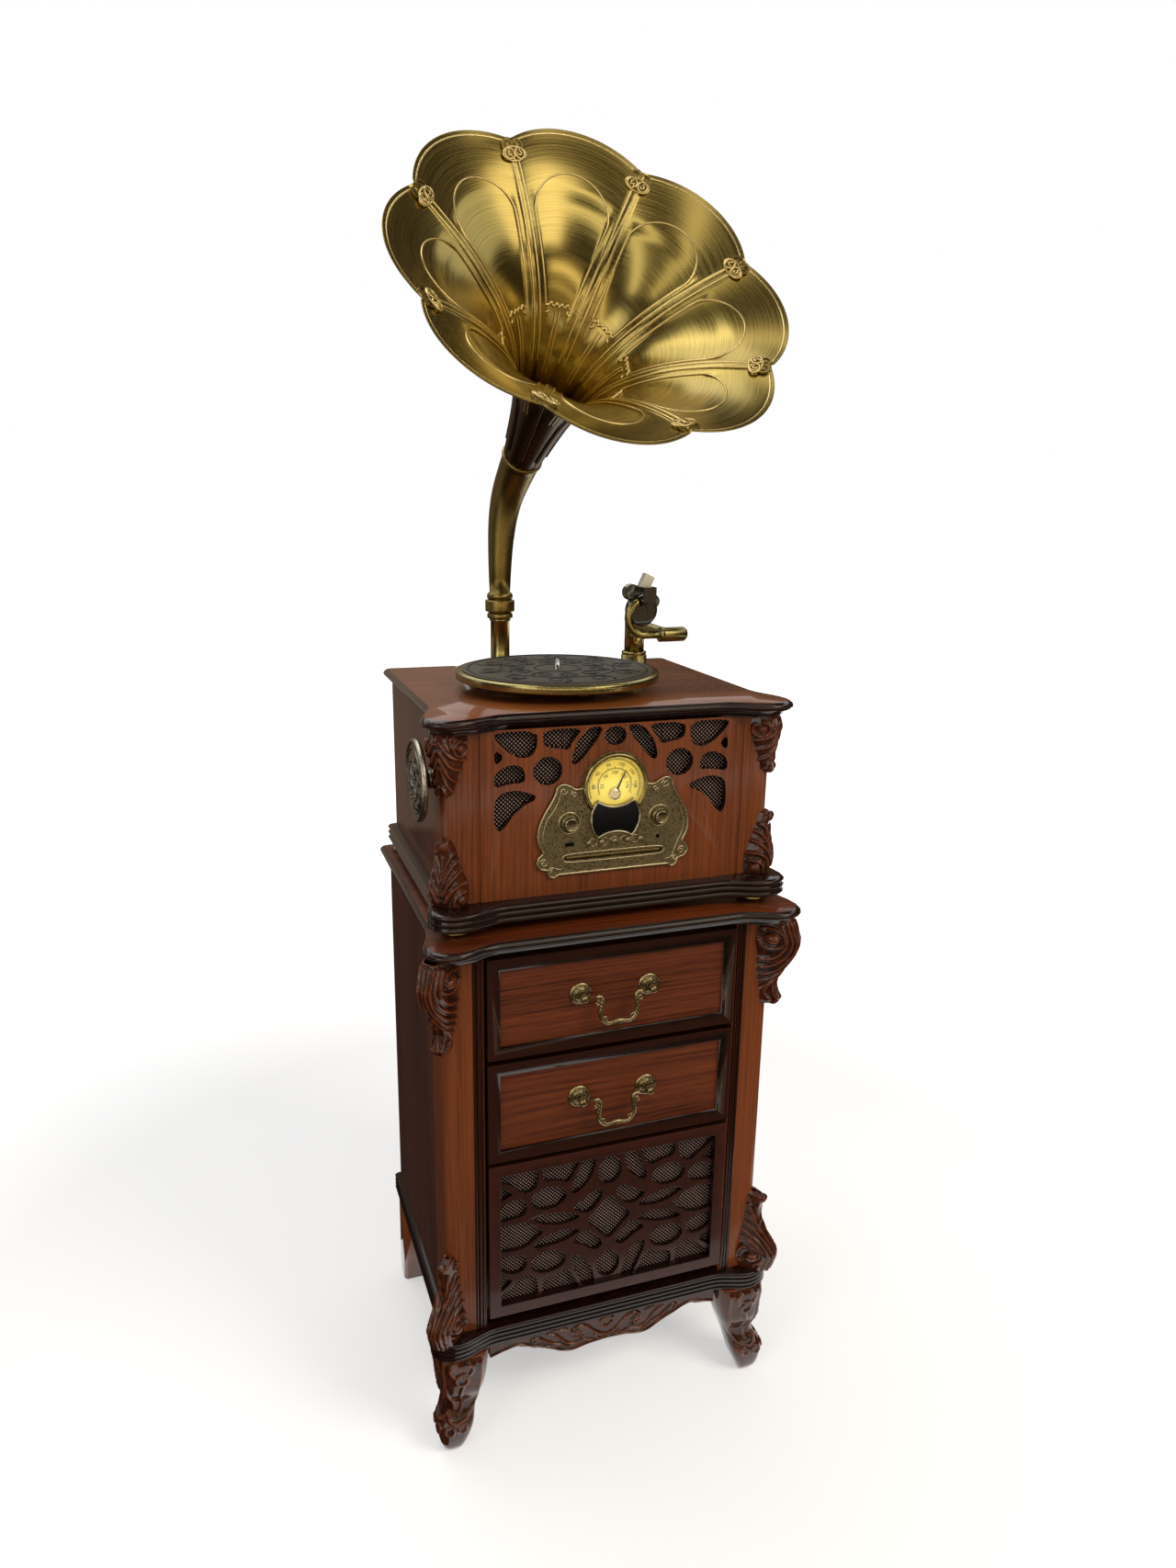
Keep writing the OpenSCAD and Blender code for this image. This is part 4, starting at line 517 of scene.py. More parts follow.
def moulded_face(name, middle_z, half_z, materials, body, back_mm=1.5, open_middle=False):
    """A board of the drawers' width whose face steps inwards by a moulding, with its middle left open or flat."""
    bm = bmesh.new()
    bmesh.ops.create_grid(bm, x_segments=1, y_segments=1, size=1)
    for vert in bm.verts:
        vert.co = Vector((vert.co.x * FRAME_HALF_WIDTH, vert.co.y * half_z, 0))
    bm.faces.ensure_lookup_table()
    middle = bm.faces[0]
    for width, rise in FRAME_STEPS:
        border = bmesh.ops.inset_region(bm, faces=[middle], thickness=width, depth=rise, use_even_offset=True)
        for face in border["faces"]:
            face.material_index = 1
    rim = [e for e in bm.edges if e.is_boundary]
    lip = bmesh.ops.extrude_edge_only(bm, edges=rim)["geom"]
    for vert in [g for g in lip if isinstance(g, bmesh.types.BMVert)]:
        vert.co.z = -back_mm
    for face in [g for g in lip if isinstance(g, bmesh.types.BMFace)]:
        face.material_index = 1
    if open_middle:
        bmesh.ops.delete(bm, geom=[middle], context="FACES_ONLY")
    for vert in bm.verts:
        vert.co = place(vert.co.x, FRAME_FRONT_Y - vert.co.z, middle_z + vert.co.y)
    bmesh.ops.recalc_face_normals(bm, faces=bm.faces)
    if sum(f.normal.y * f.calc_area() for f in bm.faces) > 0:
        bmesh.ops.reverse_faces(bm, faces=bm.faces)
    keep(bm, name, materials, body, smooth_angle=25)


def front_or_box(face):
    """Which part of a drawer a face belongs to: its front, or the box behind it."""
    return 0 if face.calc_center_median().y < place(0, -200, 0).y else 1


moulded_face("upper_drawer_face", 721.5, 76.5, [wood_across, frame_lacquer], "top_drawer")
moulded_face("lower_drawer_face", 559.5, 78.5, [wood_across, frame_lacquer], "bottom_drawer")
moulded_face("grille_frame", 345, 129, [maroon_lacquer, frame_lacquer], "cabinet", 4.0, True)
for node in ("upper_drawer", "lower_drawer"):
    refine(node, [dark_lacquer, inside_wood], front_or_box)


# Carved consoles on the corners of the cabinet and of its upper box, round in section but for flattened sides
ROUNDNESS = 0.62


def even_steps():
    """How far round a console's section, as a share of its length, each angle lies."""
    fine = np.linspace(0, math.pi / 2, 400)
    x, y = 2.2 * np.cos(fine) ** ROUNDNESS, np.sin(fine) ** ROUNDNESS
    length = np.concatenate([[0], np.cumsum(np.hypot(np.diff(x), np.diff(y)))])
    return length / length[-1], fine


STEPS, ANGLES = even_steps()


def console_shape(corner_x, corner_y, base_z, levels):
    """A console's outer face on the right: its design runs from the corner's ridge along the face, and by height.

    Each level is a height, how far the console stands out, and its half width, in mm."""
    fine = curve_through(levels, 8)
    t_fine = np.linspace(-1, 1, len(fine))

    def shape(uv):
        z, out, half = (np.interp(uv[:, 1], t_fine, fine[:, k]) for k in range(3))
        turn = np.interp(np.clip(np.abs(uv[:, 0]), 0, 1), STEPS, ANGLES)
        x = -half + (out + half) * np.clip(np.cos(turn), 0, 1) ** ROUNDNESS
        y = np.sign(uv[:, 0]) * half * np.sin(turn) ** ROUNDNESS
        spot = np.stack([corner_x + (x + y) / math.sqrt(2), -corner_y + (-x + y) / math.sqrt(2), base_z + z], axis=1)
        return spot, np.stack([((out - x) + np.abs(y)) / math.sqrt(2), z], axis=1)
    return shape


def carve_consoles(name, node, consoles):
    """Consoles with their relief, each carved for the right corner and mirrored for the left."""
    bm = bmesh.new()
    for corner_x, corner_y, base_z, levels, ribs, balls in consoles:
        for side in (-1, 1):
            made = bmesh.new()
            relief(made, console_shape(corner_x, corner_y, base_z, levels), 96, 120,
                   lambda drawn: raised(drawn, ribs, balls), 3.6)
            if side < 0:
                bmesh.ops.scale(made, vec=(-1, 1, 1), verts=made.verts)
                bmesh.ops.reverse_faces(made, faces=made.faces)
            mesh = bpy.data.meshes.new("half")
            made.to_mesh(mesh)
            made.free()
            bm.from_mesh(mesh)
            bpy.data.meshes.remove(mesh)
    thicken(keep(bm, name, carved_lacquer, "cabinet", node, 70), 3)


CABINET_UPPER = [[-148, 4, 9], [-144, 14, 12], [-135, 21, 14], [-122, 16, 14], [-107, 14, 16],
                 [-87, 24, 18], [-62, 38, 20], [-42, 44, 22], [-27, 42, 22], [-0.3, 34, 21]]
CABINET_LOWER = [[0.3, 34, 20], [17, 39, 21], [32, 42, 22], [47, 35, 20], [67, 22, 18],
                 [92, 13, 15], [114, 15, 14], [128, 20, 13], [134, 15, 12], [140, 4, 9]]
BOX_UPPER = [[-88, 2, 9], [-84, 5, 12], [-78, 8, 15], [-68, 6, 17], [-55, 6, 20],
             [-38, 9, 25], [-22, 12, 28], [-12, 12, 29], [-0.3, 8, 27]]
BOX_LOWER = [[0.3, 8, 27], [12, 10, 28], [26, 11, 28], [40, 9, 25], [56, 6, 20],
             [72, 6, 17], [84, 8, 15], [92, 7, 12], [97, 2, 9]]
cabinet_upper_ribs = [
    (5, 4.2, [(26, -12), (24, -35), (27, -54), (35, -66), (56, -71)]),
    (5, 4.0, [(18, -8), (16, -50), (24, -72), (36, -82), (58, -85)]),
    (5, 4.0, [(10, -8), (8, -52), (14, -78), (28, -93), (56, -99)]),
    (5, 3.8, [(3, -8), (2, -54), (7, -82), (20, -101), (52, -112)]),
    (4.5, 3.4, [(0, -88), (10, -104), (26, -116), (46, -124)]),
    (4, 4.2, ring_round(42, -33, 16, 60, 345)),
    (4, 3.6, [(0, -104), (1, -120), (3, -134)]), (4, 3.6, [(9, -106), (12, -122), (10, -136)]),
    (4, 3.4, [(18, -112), (24, -126), (20, -137)]), (3.5, 3.2, ring_round(5, -138, 6, 200, 520)),
]
cabinet_lower_ribs = [
    (5, 4.2, [(26, 4), (25, 28), (30, 46), (40, 56), (58, 60)]),
    (5, 4.0, [(18, 4), (17, 34), (24, 56), (36, 70), (58, 75)]),
    (5, 4.0, [(10, 4), (9, 40), (16, 66), (28, 82), (56, 90)]),
    (5, 3.8, [(2, 4), (2, 46), (8, 76), (20, 94), (50, 106)]),
    (4, 4.2, ring_round(42, 26, 16, -60, 240)),
    (4, 3.6, [(12, 92), (22, 108), (36, 118), (30, 126)]), (3.5, 3.0, ring_round(30, 118, 6, 0, 300)),
    (4, 3.2, [(4, 84), (6, 102), (10, 114)]),
]
box_upper_ribs = [
    (4, 4.0, [(4, -12), (14, -27), (30, -34), (44, -37)]), (4, 4.0, [(2, -22), (12, -41), (28, -49), (43, -52)]),
    (4, 3.8, [(1, -34), (9, -54), (20, -63), (34, -68)]), (4, 3.4, [(1, -46), (6, -64), (16, -74), (22, -80)]),
    (3.5, 3.8, ring_round(33, -19, 11, 100, 400)), (3.5, 3.2, [(14, -4), (18, -14), (24, -24)]),
    (3.5, 3.0, [(6, -4), (9, -12), (14, -20)]), (3.5, 3.0, [(2, -70), (8, -80), (2, -86)]),
]
box_lower_ribs = [
    (4, 4.0, [(4, 8), (12, 24), (26, 33), (42, 33)]), (4, 4.0, [(2, 18), (10, 37), (24, 49), (42, 54)]),
    (4, 3.8, [(1, 32), (7, 50), (18, 62), (32, 68)]), (4, 3.4, [(1, 46), (5, 60), (12, 72), (20, 76)]),
    (3.5, 3.6, [(16, 3), (18, 12), (26, 20), (38, 22)]), (3.0, 3.0, [(0, 20), (0, 70)]),
]
carve_consoles("cabinet_consoles", "cabinet_carvings", [
    (252, 221, 812, CABINET_UPPER, cabinet_upper_ribs, [(41, -33, 9, 9)]),
    (252, 221, 198, CABINET_LOWER, cabinet_lower_ribs, [(41, 25, 9, 9), (0, 127, 9, 4)]),
])
carve_consoles("box_consoles", "box_carvings", [
    (242, 204, 1112, BOX_UPPER, box_upper_ribs, [(33, -19, 6, 6)]),
    (242, 204, 874, BOX_LOWER, box_lower_ribs, [(31, 11, 8, 7), (0, 87, 9, 5)]),
])


# Front legs: a carved shield at the top that narrows to a ball toe, square in section with round corners
LEG_SQUARENESS = 3.4


def leg_shape(side):
    section = [[0, 248, 13], [12, 249, 19], [32, 247, 26], [50, 245, 29], [66, 238, 26],
               [84, 233, 27], [107, 233, 35], [132, 231, 39], [155, 231, 41], [168, 229, 40]]
    fine = curve_through(section, 6)
    t_fine = np.linspace(-1, 1, len(fine))

    def shape(uv):
        z, middle, half = (np.interp(uv[:, 1], t_fine, fine[:, k]) for k in range(3))
        turn = math.pi / 4 - side * math.pi * uv[:, 0]
        spread = np.abs(np.cos(turn)) ** LEG_SQUARENESS + np.abs(np.sin(turn)) ** LEG_SQUARENESS
        size = half / spread ** (1 / LEG_SQUARENESS)
        dx, dy = size * np.cos(turn), size * np.sin(turn)
        spot = np.stack([side * (middle + dx), 27 - middle - dy, z], axis=1)
        return spot, np.stack([half - np.minimum(dx, dy), z], axis=1)
    return shape


leg_ribs = [
    (4, 3.2, [(8, 164), (7, 130), (9, 100), (12, 78)]), (4, 3.0, [(66, 164), (62, 128), (54, 100), (44, 78), (38, 62)]),
    (3.5, 3.4, ring_round(34, 132, 12, 70, 430, 0.6)), (3.5, 3.0, [(34, 120), (28, 104), (24, 84), (22, 66)]),
    (3.5, 2.8, [(46, 140), (52, 152), (44, 162)]), (3.5, 2.8, [(22, 140), (16, 152), (24, 162)]),
    (3.5, 3.2, [(4, 70), (12, 60), (24, 56), (36, 60)]), (3.0, 2.8, ring_round(16, 47, 7, 90, 400)),
    (3.0, 2.8, ring_round(36, 48, 6, 90, 400)), (3.0, 2.6, [(0, 60), (0, 46)]),
]


def front_legs():
    """The two front legs made anew with their carving, and the plain back ones as they are."""
    bm = bmesh.new()
    bm.from_mesh(NODES["legs"].data)
    bmesh.ops.remove_doubles(bm, verts=bm.verts, dist=0.00002)
    bmesh.ops.delete(bm, geom=[v for v in bm.verts if v.co.y < 0], context="VERTS")
    for side in (-1, 1):
        verts = relief(bm, leg_shape(side), 128, 110, lambda drawn: raised(drawn, leg_ribs), 1.0)
        bmesh.ops.remove_doubles(bm, verts=verts, dist=0.0002)
    bmesh.ops.holes_fill(bm, edges=[e for e in bm.edges if e.is_boundary], sides=0)
    keep(bm, "carved_legs", carved_lacquer, "cabinet", "legs", 60)


front_legs()

# Apron with scrolls and a rolled lower edge: how deep it hangs at each distance from its middle
APRON_DEPTHS = [(0, 44), (30, 46), (62, 51), (91, 40), (118, 31), (143, 22), (168, 26), (188, 31)]
APRON_EDGE = curve_through(APRON_DEPTHS, 6)
APRON_HALF_WIDTH, APRON_TOP_Z = 188, 168


def apron_shape(uv):
    x = APRON_HALF_WIDTH * uv[:, 0]
    depth = np.interp(np.abs(x), APRON_EDGE[:, 0], APRON_EDGE[:, 1])
    z = APRON_TOP_Z - depth * (1 - uv[:, 1]) / 2
    bulge = 5 * np.exp(-(x / 105) ** 6)
    return np.stack([x, -218 - bulge, z], axis=1), np.stack([np.abs(x), z], axis=1)


apron_ribs = [
    (3.2, 3.0, [(x, APRON_TOP_Z - depth + 2.2) for x, depth in APRON_DEPTHS]),
    (3.5, 3.6, [(0, 132), (14, 138), (26, 148), (34, 156), (46, 160), (56, 154), (56, 145), (49, 141), (44, 146)]),
    (3.0, 3.2, [(24, 128), (38, 132), (52, 130), (66, 134), (76, 144), (84, 152), (96, 156)]),
    (3.0, 3.2, [(62, 126), (74, 133), (88, 138), (102, 146), (114, 153), (122, 150), (118, 144)]),
    (3.0, 3.0, [(66, 158), (78, 161), (92, 162)]), (3.0, 3.2, [(0, 146), (8, 152), (10, 160), (0, 164)]),
    (3.0, 2.6, [(8, 126), (16, 130), (20, 136)]), (3.0, 2.6, [(40, 138), (46, 136)]),
    (3.0, 2.8, [(84, 132), (96, 134), (108, 139)]),
]


def apron():
    bm = bmesh.new()
    relief(bm, apron_shape, 360, 44, lambda drawn: raised(drawn, apron_ribs, [(50, 149, 5, 4)]), 0.5)
    thicken(keep(bm, "carved_apron", carved_lacquer, "cabinet", "apron", 60), 14)


apron()


# The horn: a bell of eight petals, spun from the shape of its seam and then drawn out between the seams.
# Angles are in degrees, lengths and radii in mm. S runs from the neck to the rim, R out from the bell's middle line.
NECK = place(-38.2, 115, 1467.1)
RISE, TURN, SEAM_PHASE = 39.4, 5.2, 13.7
BELL_S, THROAT_R, SEAM_R, TIP_R, TIP_S, CONE, FLARE = 332.0, 29.0, 251.5, 274.7, 5.0, 40.0, 3.5
HALF = math.radians(22.5)
PHASE = math.radians(SEAM_PHASE)
to_neck = (Matrix.Translation(NECK) @ Matrix.Rotation(math.radians(TURN), 4, "Z")
           @ Matrix.Rotation(math.radians(90 - RISE), 4, "X"))
lobe_half, lobe_rise = SEAM_R * math.sin(HALF), TIP_R - SEAM_R * math.cos(HALF)
LOBE_R = (lobe_half ** 2 + lobe_rise ** 2) / (2 * lobe_rise)
LOBE_C = TIP_R - LOBE_R


def seam_at(s):
    """The bell's radius along a seam."""
    return THROAT_R + CONE * s / BELL_S + (SEAM_R - THROAT_R - CONE) * (s / BELL_S) ** FLARE


def on_bell(turn, share, lift=0.0):
    """A point of the bell's face: its angle, its share of the way to the rim, and a lift in mm towards the mouth."""
    a = (turn - PHASE) % (2 * HALF) - HALF
    rim = LOBE_C * math.cos(a) + math.sqrt(LOBE_R ** 2 - (LOBE_C * math.sin(a)) ** 2)
    swell = (rim - SEAM_R) / (TIP_R - SEAM_R)
    s_end = BELL_S + TIP_S * swell
    s = s_end * share
    r = seam_at(s) * (1 + (rim / seam_at(s_end) - 1) * share * share + 0.05 * swell * (1 - share))
    slope = math.atan((CONE + FLARE * (SEAM_R - THROAT_R - CONE) * (s / BELL_S) ** (FLARE - 1)) / BELL_S)
    r, z = r - lift * math.cos(slope), s + lift * math.sin(slope)
    return to_neck @ (Vector((r * math.cos(turn), r * math.sin(turn), z)) * MM)


def within(value):
    return min(1, max(0, value))


def pressed(turn, share):
    """How far the sheet is pressed from the bell's curve, in mm: a ridge on each seam, a sunk panel in each petal."""
    a = (turn - PHASE) % (2 * HALF)
    from_seam = min(a, 2 * HALF - a) * seam_at(BELL_S * share)
    ridge = 1.6 * within((6.2 - from_seam) / 2.0) * within((share - 0.3) / 0.2)
    inside = within((from_seam - 13) / 4.0) * within((0.9 - share) / 0.03) * within((share - 0.45) / 0.15)
    return ridge - 1.6 * inside


def horn_sheet():
    """The bell's brass sheet, brown on its back, its rings closer together towards the rim."""
    bm = bmesh.new()
    rings = 90
    shares = [1 - (1 - i / rings) ** 1.7 for i in range(rings + 1)]
    line = [bm.verts.new((seam_at(BELL_S * u), 0, u)) for u in shares]
    edges = [bm.edges.new(pair) for pair in zip(line, line[1:])]
    bmesh.ops.rotate(bm, cent=(0, 0, 0), matrix=Matrix.Rotation(PHASE, 3, "Z"), verts=bm.verts)
    bmesh.ops.spin(bm, geom=line + edges, cent=(0, 0, 0), axis=(0, 0, 1), angle=2 * math.pi, steps=8 * 48,
                   use_merge=True)
    bmesh.ops.remove_doubles(bm, verts=bm.verts, dist=0.0001)
    uv = bm.loops.layers.uv.new("brushing")
    for face in bm.faces:
        turns = [math.atan2(loop.vert.co.y, loop.vert.co.x) for loop in face.loops]
        wraps = max(turns) - min(turns) > math.pi
        for loop, turn in zip(face.loops, turns):
            loop[uv].uv = (loop.vert.co.z, (turn + (2 * math.pi if wraps and turn < 0 else 0)) / (2 * math.pi))
    for vert in bm.verts:
        turn, share = math.atan2(vert.co.y, vert.co.x), vert.co.z
        part = ((turn - PHASE) % (2 * HALF) - HALF) / HALF
        turn += HALF * (math.copysign(1 - (1 - min(abs(part), 1)) ** 1.5, part) - part)
        vert.co = on_bell(turn, share, pressed(turn, share))
    bmesh.ops.recalc_face_normals(bm, faces=bm.faces)
    sheet = keep(bm, "horn_bell_sheet", [gold_sheet, brown_sheet], "horn", "horn_bell", 80)
    thicken(sheet, 1.2, 1).material_offset = 1


horn_sheet()


def petal_loop(middle, inset, top, low):
    """The wire line inside a petal: up one side, round under the rim and down the other."""
    points = []
    arch, arch_part = 0.07, 0.45
    shoulder = top - arch
    for i in range(73):
        t = -1 + i / 36
        if abs(t) > arch_part:
            share = low + (shoulder - low) * (1 - abs(t)) / 0.55
            angle = math.copysign(HALF - inset / seam_at(BELL_S * share), t)
        else:
            swing = t / arch_part * math.pi / 2
            share = shoulder + arch * math.cos(swing)
            angle = (HALF - inset / seam_at(BELL_S * shoulder)) * math.sin(swing)
        points.append((on_bell(middle + angle, share, 1.0), 1.4))
    return points


def off_bell(turn, share, along, across, lift):
    """A point near a spot on the bell: mm towards the rim, mm round it, and mm above its face."""
    spot = on_bell(turn, share, lift)
    out = (spot - on_bell(turn, share - 0.02, lift)).normalized()
    side = (on_bell(turn + 0.01, share, lift) - on_bell(turn - 0.01, share, lift)).normalized()
    return spot + out * along * MM + side * across * MM


# Half of the cloud-shaped curl in the throat, as mm across and along the bell
CLOUD = curve_through([(0, 2), (3.5, 6.5), (8, 2.2), (12, 7), (16, 2.5), (20, 3), (21.5, -2.5), (18, -6.5),
                       (13.5, -4.5), (14.5, -1)], 5)
CURL_SHARE, ROSETTE_SHARE, RIM_SHARE = 0.6, 0.985, 0.9925


def horn_trim():
    """The wires on the bell: two along each seam, a loop and a curl in each petal, scrolls on the rosettes, the rim."""
    seams, loops, curls, backs, spirals = [], [], [], [], []
    up_seam = [0.42 + 0.55 * i / 40 for i in range(41)]
    for k in range(8):
        seam, middle = PHASE + 2 * HALF * k, PHASE + HALF * (2 * k + 1)
        for side in (-1, 1):
            seams.append(([(on_bell(seam + side * 4.8 / seam_at(BELL_S * u), u, 2.4), 1.5) for u in up_seam], False))
            backs.append(([(on_bell(seam + side * 2.5 / seam_at(BELL_S * u), u - 0.36, -1.6), 1.2)
                           for u in up_seam], False))
            curls.append(([(off_bell(middle, CURL_SHARE, z, side * x, 1.2), 2.0) for x, z in CLOUD], False))
            line = []
            for i in range(56):
                t = i / 55
                size, turn = 6.8 if t < 0.6 else 2.4, 2 * math.pi * t / 0.58
                line.append((off_bell(seam, ROSETTE_SHARE, -9 + size * math.cos(turn),
                                      side * (7.6 + size * math.sin(turn)), 4.2), 1.35))
            spirals.append((line, False))
        edge = [(off_bell(seam, ROSETTE_SHARE, -9 - 9.2 * math.cos(w), 17.2 * math.sin(w), 3.2), 1.4)
                for w in [2 * math.pi * i / 48 for i in range(48)]]
        spirals.append((edge, True))
        loops.append((petal_loop(middle, 15, 0.925, 0.62), False))
        for side in (-2.6, 2.6):
            curls.append(([(on_bell(middle + side / seam_at(BELL_S * u), u, 0.9), 1.4)
                           for u in [0.36 + 0.23 * i / 16 for i in range(17)]], False))
    rim = [([(on_bell(2 * math.pi * i / 384, RIM_SHARE, -0.3), 2.0) for i in range(384)], True)]
    tube("horn_seams_and_loops", seams + loops, gold_wire, "horn")
    tube("horn_throat_curls", curls, gold_wire, "horn")
    tube("horn_back_ribs", backs, brown_wire, "horn")
    tube("horn_rolled_rim", rim, gold_wire, "horn")
    tube("horn_rosette_scrolls", spirals, gold_wire, "horn")


horn_trim()
refine("horn_rosettes", elbow_brass, bevel=0.4)

# The control plate's raised work, as mm across from its middle and up from its foot
PLATE_FRONT_Y, PLATE_FOOT_Z = -207.2, 874
WINDOW_FRONT_Y, WINDOW_Z, POINTER_Z, SLOT_Z = -210.2, 979, 1013, 926
PLATE_EDGE = [(46, 151), (58, 150), (67, 155), (76, 158), (84, 154), (86, 146), (92, 134), (100, 121), (107, 107),
              (111, 92), (110, 76), (104, 63), (110, 56), (112, 47), (107, 40), (98, 37), (95, 29), (88, 26), (82, 30)]
PLATE_INNER = [(80, 150), (80, 142), (88, 124), (98, 110), (104, 91), (103, 76), (97, 63), (92, 50), (88, 40), (78, 37)]
# Each scroll: across, up, radius, where it starts and how far it turns
PLATE_SCROLLS = ((75, 149, 6.0, 2.0, 8.0), (60, 144, 4.5, 1.0, -8.0),
                 (103, 48, 6.0, 0.5, 8.0), (92, 37, 4.0, 2.5, -8.0))


def plate_line(points, radius, closed=False):
    return ([(place(x, PLATE_FRONT_Y, PLATE_FOOT_Z + z), radius) for x, z in points], closed)


def curl(x, z, radius, start, turns, side=1):
    """A scroll that winds inwards, as points across and up."""
    return [(side * (x + radius * (1 - 0.8 * i / 40) * math.cos(start + turns * i / 40)),
             z + radius * (1 - 0.8 * i / 40) * math.sin(start + turns * i / 40)) for i in range(41)]


def arc(x, z, radius, start, end, count):
    """Points along part of a circle, its angles in degrees."""
    turns = [math.radians(start + (end - start) * i / count) for i in range(count)]
    return [(x + radius * math.cos(a), z + radius * math.sin(a)) for a in turns]


def control_plate_trim():
    """Rim lines, scrolls, rings round knobs and buttons, the window's frame, the slot's flap and the pointer's hub."""
    lines = []
    around = [2 * math.pi * i / 72 for i in range(72)]
    for side in (-1, 1):
        for edge, radius in ((PLATE_EDGE, 1.9), (PLATE_INNER, 1.0)):
            lines.append(plate_line(curve_through([(side * x, z) for x, z in edge], 5), radius))
        for x, z, size, start, turns in PLATE_SCROLLS:
            lines.append(plate_line(curl(x, z, size, start, turns, side), 1.4))
        lines.append(plate_line([(side * 67 + 15 * math.cos(a), 103 + 15 * math.sin(a)) for a in around], 1.6, True))
    for i in range(-2, 3):
        lines.append(plate_line([(15.5 * i + 5.6 * math.cos(a), 72 + 5.6 * math.sin(a)) for a in around[::3]],
                                0.9, True))
    lines.append(plate_line([(-82, 30), (82, 30)], 2.2))
    lines.append(plate_line([(76 * math.copysign(abs(math.cos(a)) ** 0.35, math.cos(a)),
                              52 + 6.5 * math.copysign(abs(math.sin(a)) ** 0.5, math.sin(a))) for a in around],
                            1.2, True))
    window = (arc(0, 0, 35, 43.2, -46.5, 24) + arc(0, -61, 43, 55.9, 124.1, 16)
              + arc(0, 0, 35, 226.5, 136.8, 24) + arc(0, 61, 45, -124.5, -55.5, 16))
    tube("control_plate_trim", lines, rim_bronze, "cabinet")
    frame_line = [(place(x * 1.03, WINDOW_FRONT_Y, WINDOW_Z + z * 1.04), 1.9) for x, z in window]
    tube("window_frame", [(frame_line, True)], bright_bezel, "cabinet")
    flap = [(place(-70 + 10 * i, -203.9, SLOT_Z), 2.6) for i in range(15)]
    tube("slot_flap", [(flap, False)], dark_bronze, "cabinet")
    hub = [(-204.4, 9.6), (-206.4, 9.4), (-206.8, 7.6), (-208.0, 7.0), (-208.5, 4.6)]
    tube("pointer_hub", [([(place(0, y, POINTER_Z), r) for y, r in hub], False)], antique_brass, "pointer")


control_plate_trim()

DIAL_FRONT_Y, DIAL_Z = -203.7, 1024.6
FIGURE_SIZE, FIGURE_RISE = 6.8 * MM, 0.15 * MM


def on_dial(radius, angle):
    """A point of the dial's printed face, its angle from straight up."""
    return place(radius * math.sin(angle), DIAL_FRONT_Y, DIAL_Z + radius * math.cos(angle))


def dial_printing():
    """Tick marks and plain numbers in arcs, as thin ink shapes on the dial."""
    ticks = []
    for radius, count, long_each in ((37, 60, 5), (24, 40, 4)):
        for i in range(count + 1):
            a = math.radians(-115 + 230 * i / count)
            reach = 3.4 if i % long_each == 0 else 1.8
            ticks.append(([(on_dial(radius, a), 0.45), (on_dial(radius + reach, a), 0.45)], False))
        ticks.append(([(on_dial(radius, math.radians(-115 + 230 * i / 60)), 0.3) for i in range(61)], False))
    tube("dial_ticks", ticks, dial_ink, "cabinet")
    bm = bmesh.new()
    for radius, words in ((31, ["88", "92", "96", "100", "104", "108"]), (18.5, ["53", "70", "100", "130", "170"])):
        for i, word in enumerate(words):
            a = math.radians(-90 + 180 * i / (len(words) - 1))
            text = bpy.data.curves.new("figures", "FONT")
            text.body, text.align_x, text.align_y = word, "CENTER", "CENTER"
            text.size, text.extrude = FIGURE_SIZE, FIGURE_RISE
            mesh = mesh_of("figures", text)
            mesh.transform(Matrix.Translation(on_dial(radius, a)) @ Matrix.Rotation(a, 4, "Y")
                           @ Matrix.Rotation(math.pi / 2, 4, "X"))
            bm.from_mesh(mesh)
    bmesh.ops.remove_doubles(bm, verts=bm.verts, dist=0.000001)
    keep(bm, "dial_figures", dial_ink, "cabinet")


dial_printing()


# Handles: gadrooned roses, and a bail with scrolls and a ribbed grip
ROSE_X, ROSE_BACK_Y, ROSE_R, BAIL_Y = 52.5, -223, 14.2, -241.5
BAIL_HALF = [(35.5, 0), (28.5, 0), (25.5, -5), (27, -16), (28, -26), (25, -36), (17, -43.5), (8.5, -43)]


def rose_shape(side, middle_z):
    """A rose's domed face, as rings about its middle."""
    def shape(uv):
        turn, away = math.pi * uv[:, 0], ROSE_R * (1 - uv[:, 1]) / 2
        dome = np.interp(away, [0, 5, 9, 12, ROSE_R], [6.4, 6.0, 3.6, 3.9, 0.6])
        spot = np.stack([side * ROSE_X + away * np.cos(turn), ROSE_BACK_Y - dome, middle_z + away * np.sin(turn)],
                        axis=1)
        return spot, np.stack([turn, away], axis=1)
    return shape


def rose_relief(drawn):
    lobes = np.abs(np.cos(drawn[:, 0] * 5)) ** 0.7
    ring = np.exp(-((drawn[:, 1] - 7.6) / 2.6) ** 2)
    beads = np.exp(-((drawn[:, 1] - 12.4) / 1.1) ** 2) * (0.4 + 0.6 * np.cos(drawn[:, 0] * 18) ** 2)
    return -1.9 * lobes * ring - 1.2 * beads


